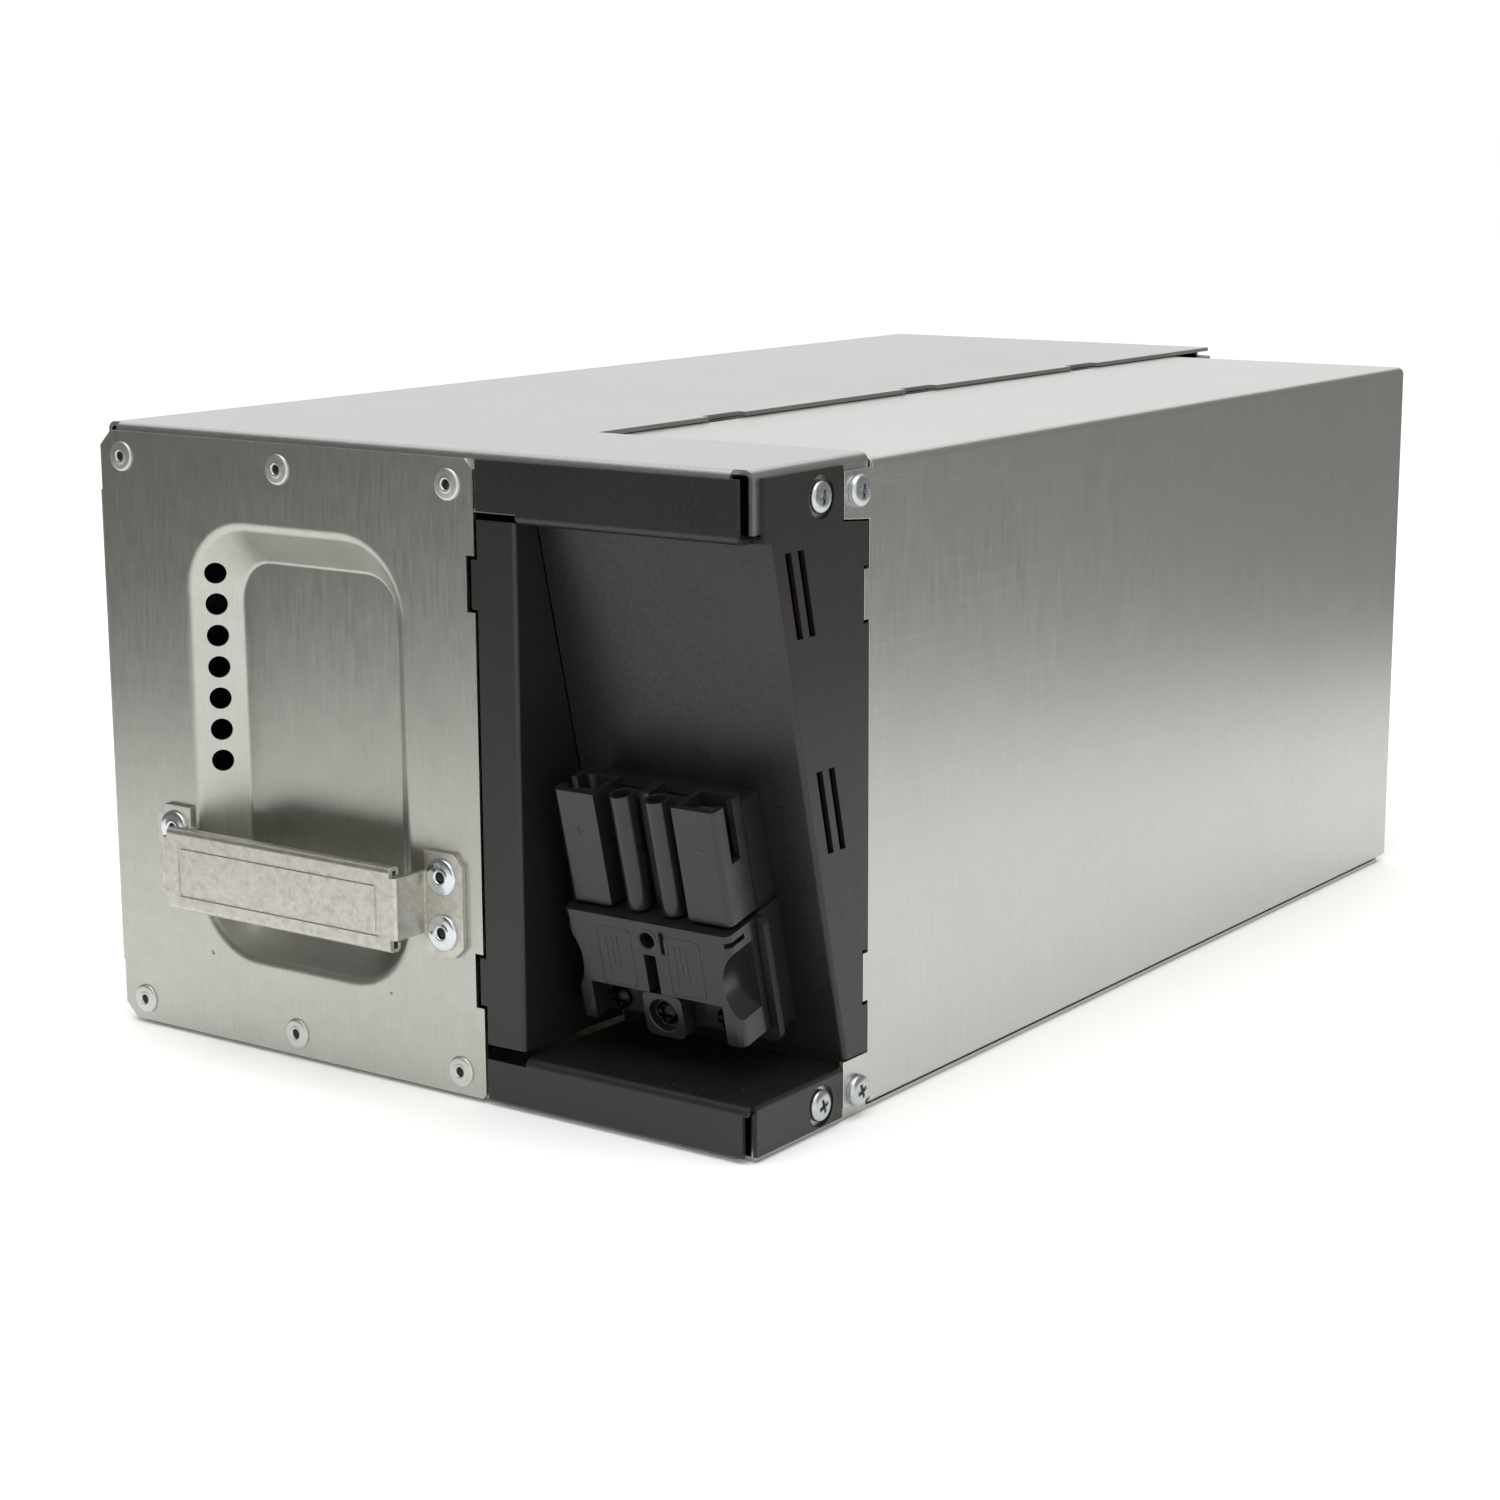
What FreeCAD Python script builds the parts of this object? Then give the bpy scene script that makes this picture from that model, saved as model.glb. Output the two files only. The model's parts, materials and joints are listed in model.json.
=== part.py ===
"""Rack battery cartridge: sheet-metal case, connector bay, sliding plug and eight battery blocks.

All pieces are drawn in the corner frame: X runs right from the case's left wall, Y runs back
from the front face and Z runs up from the underside. Each sub-part's Placement then moves it
so that the origin is the centre of the base.
"""
import FreeCAD, Part
import Sketcher
import math
import os
import re

# ---------------------------------------------------------------- driving dimensions (mm, degrees)
SIZES = {
    # case
    "width": 211.5, "depth": 394.0, "cover_end": 364.0, "height": 165.0, "metal": 1.2,
    "bend": 2.2, "relief": 5.0, "fit": 0.4, "slide_gap": 0.25, "flange": 15.0,
    "low_flange": 11.6,
    "seam_x": 128.0, "roof_y": 51.0, "tuck": 10.0, "hook_len": 17.0, "hook_y": 99.0,
    "hook_pitch": 98.0, "hook_deep": 2.6, "side_return": 14.0,
    # front plate and its dished recess
    "plate_right": 129.6, "plate_low": 1.2, "plate_trim": 2.0, "plate_cut": 4.0,
    "dish_left": 31.0, "dish_right": 105.5, "dish_low": 25.0, "dish_high": 140.0,
    "dish_deep": 10.0, "dish_round": 9.0, "return_past": 7.5,
    "vent_dia": 5.8, "vent_pitch": 8.4, "vent_low": 76.6, "notch_deep": 2.6, "notch_tall": 14.0,
    "notch_low": 25.0, "notch_high": 125.4,
    # pop rivets and screws
    "rivet_x": 7.9, "rivet_mid": 64.6, "rivet_far": 121.5, "rivet_z": 7.2, "rivet_dia": 4.0,
    "rivet_head": 8.0, "rivet_dome": 0.9, "rivet_bore": 2.4, "play": 0.15,
    "grip_rivet_dia": 4.8, "grip_rivet_head": 9.5, "grip_rivet_dome": 1.3, "grip_rivet_bore": 2.8,
    "screw_dia": 4.0, "screw_head": 8.0, "screw_rise": 2.2, "screw_long": 8.0,
    "cross_long": 4.4, "cross_wide": 0.9, "cross_deep": 1.3,
    # handle
    "strap_left": 17.0, "strap_right": 124.5, "strap_ear": 14.0, "strap_metal": 1.5,
    "strap_out": 12.5, "strap_mid": 50.5, "ear_tall": 27.0, "leg_tall": 16.0, "grip_tall": 22.0,
    "hem": 4.0, "ear_cut": 3.0, "strap_rivet_gap": 14.4, "bead_in": 4.5, "bead_wide": 1.1,
    "bead_deep": 0.4,
    # connector bay
    "panel_y": 8.4, "panel_z": 147.8, "tilt": 13.5, "bay_left": 130.4, "bay_wall": 142.5,
    "shelf_z": 14.3, "lip_low": 150.0, "side_front": 6.2, "side_back": 49.7, "ear_front": 38.7,
    "ear_low": 149.6, "ear_high": 16.0, "side_screw_y": 29.4, "side_dimple": 10.6,
    "cover_screw_y": 44.6, "tab_out": 2.2, "tab_tall": 14.0, "tab_low": 28.2, "tab_high": 123.9,
    "slot_wide": 2.5, "slot_long": 21.0, "slot_gap": 5.2, "slot_inset": 5.2, "lip_slot": 3.2,
    "seam_slot": 1.4,
    # connector, in the sloping frame: x across, up the slope, out of the panel
    "dock_left": 147.5, "dock_right": 202.0, "dock_rim": 3.0, "dock_top": 64.0, "dock_low": 126.0,
    "dock_out": 10.0, "dock_neck": 7.4, "dock_plate": 2.0, "dock_floor": 2.5, "well_low": 102.0,
    "plug_top": 61.0, "plug_split": 91.5,
    "plug_low": 122.0, "plug_face": 20.5, "grip_face": 23.5, "plug_gap": 0.3, "plug_side": 1.4,
    "block_wide": 12.5, "block_wall": 1.8, "block_gap": 1.1, "sleeve_dia": 6.4, "sleeve_bore": 4.6,
    "sleeve_x": 5.3, "sleeve_out": 17.2, "sleeve_low": 91.2, "scoop": 13.0, "scoop_deep": 3.6,
    "scoop_mid": 106.0, "lock_dia": 4.4, "lock_up": 97.0, "groove_wide": 3.6, "toe_up": 111.5,
    "toe_out": 17.0, "toe_side": 5.0, "boss": 12.0, "boss_up": 118.5, "boss_out": 22.0,
    "boss_play": 0.8, "boss_foot": 7.0,
    "side_slot": 15.0, "side_slot_low": 12.8, "side_slot_high": 16.4, "finger_slot": 1.3,
    "dock_screw_head": 3.2, "dock_screw_up": 95.0, "plug_screw_x": 16.5, "plug_screw_up": 118.5,
    "plug_screw_dia": 6.0,
    "stud_dia": 8.0, "stud_x": 13.0, "stud_up": 80.0, "stud_back": 10.0, "stud_hole": 12.0,
    # battery blocks: stood on end, lids facing the middle aisle
    "block_long": 151.0, "block_deep": 65.0, "block_tall": 94.0, "lid": 8.0, "lid_step": 0.6,
    "row_gap": 1.5, "rows_start": 58.0, "liner": 3.0, "tab_wide": 6.35, "tab_thick": 0.8,
    "tab_rise": 6.0, "pole_in": 20.0, "strap_thick": 1.2, "strap_high": 8.0,
    "lead_dia": 6.0, "lead_bend": 8.0, "divider": 2.0, "sheet_film": 0.8,
}

# sizes that follow from the ones above
FORMULAS = {
    "middle_x": "width / 2", "middle_y": "depth / 2", "inner_top": "height - metal",
    "plate_high": "height - plate_trim", "upper_rivet_z": "height - rivet_z - 1.4",
    "slope": "tan(tilt)", "lean": "1 / cos(tilt)",
    "shelf_low": "shelf_z - metal", "ledge_top": "panel_z + metal",
    "plug_mid": "(dock_left + dock_right) / 2", "plug_half": "(dock_right - dock_left) / 2 - dock_rim",
    "plug_back": "dock_out + dock_plate + plug_gap", "block_back": "dock_neck + block_gap",
    "left_face": "metal + 0.8", "right_face": "width - metal - 0.8",
    "block_floor": "metal + liner", "block_top": "block_floor + block_long",
    "rows_end": "rows_start + 4 * block_deep + 3 * row_gap",
    "low_pole": "block_floor + pole_in", "high_pole": "block_top - pole_in",
    "left_lid": "left_face + block_tall", "right_lid": "right_face - block_tall",
    "cover_top": "inner_top - slide_gap", "cover_low": "metal + slide_gap",
}

doc = FreeCAD.newDocument("BatteryCartridge")
sheet = doc.addObject("Spreadsheet::Sheet", "Sizes")
parts = {}


def fill_sheet():
    """Write each driving dimension into a cell of its own, named by its alias."""
    for row, (alias, number) in enumerate(SIZES.items(), start=1):
        sheet.set("A%d" % row, alias)
        sheet.set("B%d" % row, str(number))
        sheet.setAlias("B%d" % row, alias)
    doc.recompute()


def spell(formula):
    """Turn a formula in alias words into an expression that points at the sheet."""
    def word(match):
        name = match.group(0)
        if name in FORMULAS:
            return "(" + spell(FORMULAS[name]) + ")"
        return "Sizes." + name if name in SIZES else name
    return re.sub(r"[a-z_][a-z_0-9]*", word, formula)


def value(formula):
    """The number that a formula stands for now."""
    return float(sheet.evalExpression(spell(formula)))


def bind(thing, prop, formula):
    thing.setExpression(prop, spell(formula))


def place(thing, x="0", y="0", z="0"):
    """Tie a sub-part's place to the sheet, from the corner frame to the centre of the base."""
    bind(thing, "Placement.Base.x", "%s - middle_x" % x)
    bind(thing, "Placement.Base.y", "%s - middle_y" % y)
    bind(thing, "Placement.Base.z", z)


def keep(label, thing):
    """Name a finished sub-part."""
    thing.Label = label
    parts[label] = thing
    return thing


# ---------------------------------------------------------------- sketch-based features
NORMAL_SIGN = {"XY": 1, "XZ": -1, "YZ": 1}


def new_body(label):
    body = doc.addObject("PartDesign::Body", label)
    place(body)
    return keep(label, body)


def sloped_body(label):
    """A body in the bay's sloping frame: x across, y up the slope, z out of the back panel."""
    body = doc.addObject("PartDesign::Body", label)
    lean_back(body)
    return keep(label, body)


def lean_back(thing):
    """Lay a sub-part's frame on the sloping panel, with its origin at the panel's top edge."""
    thing.Placement = FreeCAD.Placement(FreeCAD.Vector(), FreeCAD.Rotation(FreeCAD.Vector(1, 0, 0), 90))
    place(thing, "0", "panel_y", "panel_z")
    bind(thing, "Placement.Rotation.Angle", "90 + tilt")


def new_sketch(body, name, plane, level="0", turn=None):
    """A sketch parallel to one of the body's origin planes, level being the third coordinate."""
    sketch = body.newObject("Sketcher::SketchObject", name)
    role = plane + "_Plane"
    support = [feature for feature in body.Origin.OriginFeatures if feature.Role == role][0]
    sketch.AttachmentSupport = (support, [""])
    sketch.MapMode = "FlatFace"
    if turn:
        sketch.AttachmentOffset = turn
    bind(sketch, "AttachmentOffset.Base.z", "%d * (%s)" % (NORMAL_SIGN[plane], level))
    return sketch


def tie(sketch, kind, formula, *where):
    """Add a constraint whose number comes from the sheet."""
    index = sketch.addConstraint(Sketcher.Constraint(kind, *where, value(formula)))
    bind(sketch, "Constraints[%d]" % index, formula)


def draw_outline(sketch, points):
    """A closed polygon with both coordinates of every corner tied to the sheet."""
    spots = [FreeCAD.Vector(value(across), value(up), 0) for across, up in points]
    count = len(spots)
    first = sketch.GeometryCount
    for number in range(count):
        sketch.addGeometry(Part.LineSegment(spots[number], spots[(number + 1) % count]), False)
    for number in range(count):
        after = first + (number + 1) % count
        sketch.addConstraint(Sketcher.Constraint("Coincident", first + number, 2, after, 1))
    for number, (across, up) in enumerate(points):
        tie(sketch, "DistanceX", across, -1, 1, first + number, 1)
        tie(sketch, "DistanceY", up, -1, 1, first + number, 1)


def draw_circle(sketch, across, up, diameter):
    centre = FreeCAD.Vector(value(across), value(up), 0)
    up_axis = FreeCAD.Vector(0, 0, 1)
    number = sketch.addGeometry(Part.Circle(centre, up_axis, value(diameter) / 2), False)
    tie(sketch, "DistanceX", across, -1, 1, number, 3)
    tie(sketch, "DistanceY", up, -1, 1, number, 3)
    tie(sketch, "Diameter", diameter, number)


def box_outline(left, right, low, high):
    return [(left, low), (right, low), (right, high), (left, high)]


def grow(body, name, kind, sketch, plane, start, end):
    """Pad or pocket a sketch from its own level to another one, always towards larger numbers."""
    feature = body.newObject("PartDesign::" + kind, name)
    feature.Profile = sketch
    bind(feature, "Length", "(%s) - (%s)" % (end, start))
    towards_normal = NORMAL_SIGN[plane] > 0
    feature.Reversed = not towards_normal if kind == "Pad" else towards_normal
    sketch.Visibility = False
    return feature


def pad(body, name, plane, outline, start, end):
    sketch = new_sketch(body, name + "Sketch", plane, start)
    draw_outline(sketch, outline)
    return grow(body, name, "Pad", sketch, plane, start, end)


def cut(body, name, plane, outline, start, end):
    sketch = new_sketch(body, name + "Sketch", plane, start)
    draw_outline(sketch, outline)
    return checked_cut(body, grow(body, name, "Pocket", sketch, plane, start, end))


def drill(body, name, plane, holes, start, end):
    """Round holes through a sheet: holes lists (across, up, diameter)."""
    sketch = new_sketch(body, name + "Sketch", plane, start)
    for across, up, diameter in holes:
        draw_circle(sketch, across, up, diameter)
    return checked_cut(body, grow(body, name, "Pocket", sketch, plane, start, end))


def checked_cut(body, feature):
    """Recompute and make sure that the cut took material away."""
    doc.recompute()
    before = feature.BaseFeature.Shape.Volume
    if feature.Shape.Volume >= before:
        raise RuntimeError("%s cuts nothing" % feature.Name)
    return feature


def soften(body, name, radius, wanted, kind="Fillet"):
    """Round or chamfer the straight or curved edges that wanted(edge) picks."""
    doc.recompute()
    base = body.Tip
    names = ["Edge%d" % (number + 1) for number, edge in enumerate(base.Shape.Edges) if wanted(edge)]
    if not names:
        raise RuntimeError("%s finds no edge" % name)
    feature = body.newObject("PartDesign::" + kind, name)
    feature.Base = (base, names)
    bind(feature, "Radius" if kind == "Fillet" else "Size", radius)
    doc.recompute()
    return feature


def edge_at(axis, spots, longer="0"):
    """Choose straight edges along an axis at given places: spots lists ((axis, formula), ...)."""
    index = {"x": 0, "y": 1, "z": 2}
    numbers = [[(index[letter], value(formula)) for letter, formula in spot] for spot in spots]
    shortest = value(longer)

    def wanted(edge):
        if edge.Curve.TypeId != "Part::GeomLine" or edge.Length < shortest:
            return False
        if abs(edge.Curve.Direction[index[axis]]) < 0.9999:
            return False
        middle = edge.CenterOfMass
        return any(all(abs(middle[at] - number) < 0.01 for at, number in spot) for spot in numbers)
    return wanted


# ---------------------------------------------------------------- primitives
def block(name, left, right, front, back, low, high):
    """A plain box between six formulas, in the corner frame."""
    box = doc.addObject("Part::Box", name)
    for prop, formula in (("Length", "(%s) - (%s)" % (right, left)),
                          ("Width", "(%s) - (%s)" % (back, front)),
                          ("Height", "(%s) - (%s)" % (high, low)), ("Placement.Base.x", left),
                          ("Placement.Base.y", front), ("Placement.Base.z", low)):
        bind(box, prop, formula)
    return box


def rod(name, radius, start, end, top_radius=None):
    """A cylinder or cone along its own z axis, which points out of the fastened face."""
    thing = doc.addObject("Part::Cone" if top_radius else "Part::Cylinder", name)
    if top_radius:
        bind(thing, "Radius1", radius)
        bind(thing, "Radius2", top_radius)
    else:
        bind(thing, "Radius", radius)
    bind(thing, "Height", "(%s) - (%s)" % (end, start))
    bind(thing, "Placement.Base.z", start)
    return thing


def join(name, shapes):
    union = doc.addObject("Part::MultiFuse", name)
    union.Shapes = shapes
    return union


def carve(name, base, tool):
    difference = doc.addObject("Part::Cut", name)
    difference.Base = base
    difference.Tool = tool
    return difference


OUTWARD = {"front": (FreeCAD.Vector(1, 0, 0), 90), "rear": (FreeCAD.Vector(1, 0, 0), -90),
           "right": (FreeCAD.Vector(0, 1, 0), 90), "out": (FreeCAD.Vector(0, 0, 1), 0)}


def group_of(label, make, spots, facing):
    """Identical pieces as separate solids in one node: spots lists (x, y, z) formulas."""
    pieces = []
    for number, (x, y, z) in enumerate(spots):
        piece = make("%s_%d" % (label, number + 1))
        piece.Placement = FreeCAD.Placement(FreeCAD.Vector(), FreeCAD.Rotation(*OUTWARD[facing]))
        for axis, formula in zip("xyz", (x, y, z)):
            bind(piece, "Placement.Base." + axis, formula)
        pieces.append(piece)
    group = doc.addObject("Part::Compound", label)
    group.Links = pieces
    return keep(label, group)


def pop_rivet(name, kind, grip):
    """A hollow blind rivet: low dome on the outside, shank through the sheets, bulged tail."""
    head, dia, dome, bore = (kind + word for word in ("_head", "_dia", "_dome", "_bore"))
    dome_piece = rod(name + "Dome", head + " / 2", "0", dome, "%s / 2 - %s" % (head, dome))
    shank = rod(name + "Shank", dia + " / 2", "-(%s) - 0.4" % grip, "0.2")
    tail = rod(name + "Tail", "%s * 0.62" % dia, "-(%s) - %s" % (grip, dia), "-(%s) - 0.02" % grip)
    hollow = rod(name + "Hollow", bore + " / 2", "-(%s) - %s - 1" % (grip, dia), dome + " + 1")
    return carve(name, join(name + "Solid", [dome_piece, shank, tail]), hollow)


def cross_screw(name, length, head="screw_head", rise="screw_rise", dia="screw_dia"):
    """A pan-head screw with a cross recess."""
    under = rod(name + "Under", head + " / 2", "0", rise + " * 0.45")
    crown = rod(name + "Crown", head + " / 2", rise + " * 0.45", rise, head + " / 2 - 1.1")
    shank = rod(name + "Shank", dia + " / 2", "-(%s)" % length, "0.1")
    bars = [block(name + "Bar%d" % turn, "-(%s) / 2" % wide, wide + " / 2", "-(%s) / 2" % deep,
                  deep + " / 2", rise + " - cross_deep", rise + " + 1")
            for turn, (wide, deep) in enumerate((("cross_long", "cross_wide"),
                                                 ("cross_wide", "cross_long")))]
    return carve(name, join(name + "Solid", [under, crown, shank]), join(name + "Cross", bars))


# ---------------------------------------------------------------- case
def bent_strip(body, name, outline, left, right, outer_corner, inner_corner):
    """An L-shaped sheet strip along X with a rounded bend."""
    pad(body, name, "YZ", outline, left, right)
    soften(body, name + "Outer", "bend", edge_at("x", [outer_corner]))
    soften(body, name + "Inner", "bend - metal", edge_at("x", [inner_corner]))


def make_case_shell():
    """Left wall, top, bottom, roof over the bay and the flanges that the other sheets sit on."""
    body = new_body("case_shell")
    start, stop = "metal + bend", "depth - metal - bend"
    section = [("0", "0"), ("width - metal", "0"), ("width - metal", "metal"), ("metal", "metal"),
               ("metal", "inner_top"), ("seam_x", "inner_top"), ("seam_x", "height"), ("0", "height")]
    pad(body, "Wrap", "XZ", section, start, stop)
    soften(body, "WrapOuter", "bend", edge_at("y", [(("x", "0"), ("z", "0")),
                                                    (("x", "0"), ("z", "height"))]))
    inner = [(("x", "metal"), ("z", "metal")), (("x", "metal"), ("z", "inner_top"))]
    soften(body, "WrapInner", "bend - metal", edge_at("y", inner))
    roof = [("seam_x - 1", "inner_top"), ("width - 2 * metal", "inner_top"),
            ("width - 2 * metal", "height - flange"), ("width - metal", "height - flange"),
            ("width - metal", "height"), ("seam_x - 1", "height")]
    pad(body, "Roof", "XZ", roof, start, "roof_y")
    roof_edges = (("x", "width - metal"), ("z", "height"))
    soften(body, "RoofOuter", "bend", edge_at("y", [roof_edges]))
    soften(body, "RoofInner", "bend - metal", edge_at("y", [(("x", "width - 2 * metal"),
                                                             ("z", "inner_top"))]))
    kerb = [("width - 2 * metal", "metal / 2"), ("width - metal", "metal / 2"),
            ("width - metal", "low_flange"), ("width - 2 * metal", "low_flange")]
    pad(body, "Kerb", "XZ", kerb, start, "roof_y")
    cut(body, "RearCorner", "XY", box_outline("seam_x", "width", "cover_end - metal - bend", "depth"), "-1",
        "metal + 1")
    for name, deep_end, left, right, high in (("FrontTop", False, "relief", "width - metal - relief", True),
                                              ("FrontLow", False, "relief", "width - metal - relief",
                                               False),
                                              ("RearTop", True, "relief", "seam_x - relief", True),
                                              ("RearLow", True, "relief", "seam_x - relief", False)):
        edge_flange(body, name, deep_end, left, right, high)
    holes = [(x, z, "rivet_dia + 2 * play") for x in ("rivet_x", "rivet_mid", "rivet_far")
             for z in ("rivet_z", "upper_rivet_z")]
    drill(body, "RivetHoles", "XZ", holes, "metal - 0.5", "2 * metal + 0.5")
    rear = [(x, z, "rivet_dia + 2 * play") for x in ("rivet_x + 6", "seam_x - rivet_x - 6")
            for z in ("rivet_z", "upper_rivet_z")]
    drill(body, "RearRivetHoles", "XZ", rear, "depth - 2 * metal - 0.5", "depth - metal + 0.5")
    side = [(y, z, "screw_dia + 2 * play") for y in ("side_screw_y", "cover_screw_y")
            for z in ("rivet_z", "upper_rivet_z")]
    drill(body, "SideHoles", "YZ", side, "width - 2 * metal - 0.5", "width - metal + 0.5")
    for number in range(3):
        first = "hook_y + %d * hook_pitch" % number
        outline = box_outline("seam_x - hook_deep", "seam_x + 1", first, first + " + hook_len")
        cut(body, "HookSlot%d" % number, "XY", outline, "inner_top - 1", "height + 1")


def edge_flange(body, name, at_rear, left, right, at_top):
    """The bent flange along one end of the top or the bottom sheet."""
    skin = "depth - metal" if at_rear else "metal"
    deep = "depth - 2 * metal" if at_rear else "2 * metal"
    meet = "depth - metal - bend - 0.5" if at_rear else "metal + bend + 0.5"
    outer, inner, tip = (("height", "inner_top", "height - flange")
                         if at_top else ("0", "metal", "low_flange"))
    outline = [(skin, outer), (meet, outer), (meet, inner), (deep, inner), (deep, tip), (skin, tip)]
    strip_outer, strip_inner = (("y", skin), ("z", outer)), (("y", deep), ("z", inner))
    bent_strip(body, name, outline, left, right, strip_outer, strip_inner)


def make_front_plate():
    """Riveted front plate with chamfered corners, side return, dished recess and vent holes."""
    body = new_body("front_plate")
    low, high, right = "plate_low", "plate_high", "plate_right"
    notched = "plate_right - notch_deep"
    outline = [("plate_cut", low), (right, low)]
    for first in ("notch_low", "notch_high"):
        top = first + " + notch_tall"
        outline += [(right, first), (notched, first), (notched, top), (right, top)]
    outline += [(right, high), ("plate_cut", high), ("0", high + " - plate_cut"),
                ("0", low + " + plate_cut")]
    pad(body, "Face", "XZ", outline, "0", "metal")
    arm = [("-metal", "0"), ("0.5", "0"), ("0.5", "metal"), ("0", "metal"), ("0", "side_return"),
           ("-metal", "side_return")]
    pad(body, "SideReturn", "XY", arm, "dish_low - return_past", "dish_high + return_past")
    soften(body, "ReturnBend", "metal", edge_at("z", [(("x", "-metal"), ("y", "0"))]))
    dish(body, "DishOuter", "Pad", "0.42 * metal", "metal / 2", "dish_deep + metal")
    dish(body, "DishInner", "Pocket", "0", "0", "dish_deep")
    soften_dish(body)
    handle_holes = [(x, z, "grip_rivet_dia + 2 * play") for x, z in handle_rivet_spots()]
    holes = [(x, z, "rivet_dia + 2 * play") for x in ("rivet_x", "rivet_mid", "rivet_far")
             for z in ("rivet_z", "upper_rivet_z")]
    drill(body, "RivetHoles", "XZ", holes + handle_holes, "-0.5", "metal + 0.5")
    vent_row(body)


def dish(body, name, kind, margin, start, end):
    """A rounded rectangle that narrows by 45 degrees as it goes back into the case."""
    sketch = new_sketch(body, name + "Sketch", "XZ", start)
    draw_outline(sketch, box_outline("dish_left - (%s)" % margin, "dish_right + %s" % margin,
                                     "dish_low - (%s)" % margin, "dish_high + %s" % margin))
    feature = grow(body, name, kind, sketch, "XZ", start, end)
    feature.TaperAngle = -45
    doc.recompute()
    return feature


def soften_dish(body):
    """Round the recess's four slanting corners."""
    def slanting(edge):
        if len(edge.Vertexes) < 2:
            return False
        way = edge.Vertexes[1].Point - edge.Vertexes[0].Point
        way.normalize()
        return min(abs(way.x), abs(way.y), abs(way.z)) > 0.3
    soften(body, "DishCorners", "dish_round", slanting)


def vent_row(body):
    """A row of round vents, drilled square to the recess's left slope."""
    turn = FreeCAD.Placement(FreeCAD.Vector(), FreeCAD.Rotation(FreeCAD.Vector(0, 1, 0), -45))
    sketch = new_sketch(body, "VentSketch", "XZ", "0", turn)
    bind(sketch, "AttachmentOffset.Base.x", "dish_left + dish_deep / 2")
    bind(sketch, "AttachmentOffset.Base.z", "-dish_deep / 2")
    draw_circle(sketch, "0", "vent_low", "vent_dia")
    hole = body.newObject("PartDesign::Pocket", "Vent")
    hole.Profile = sketch
    hole.Midplane = True
    bind(hole, "Length", "6 * metal")
    doc.recompute()
    row = body.newObject("PartDesign::LinearPattern", "VentRow")
    row.Originals = [hole]
    row.Direction = ([f for f in body.Origin.OriginFeatures if f.Role == "Z_Axis"][0], [""])
    row.Occurrences = 7
    bind(row, "Length", "6 * vent_pitch")
    body.Tip = row
    doc.recompute()


def handle_rivet_spots():
    """Centres of the handle's four rivets on the front plate."""
    return [(x, "strap_mid %s strap_rivet_gap / 2" % sign)
            for x in ("strap_left + strap_ear / 2 - 0.5", "strap_right - strap_ear / 2 + 0.5")
            for sign in "+-"]


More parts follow.
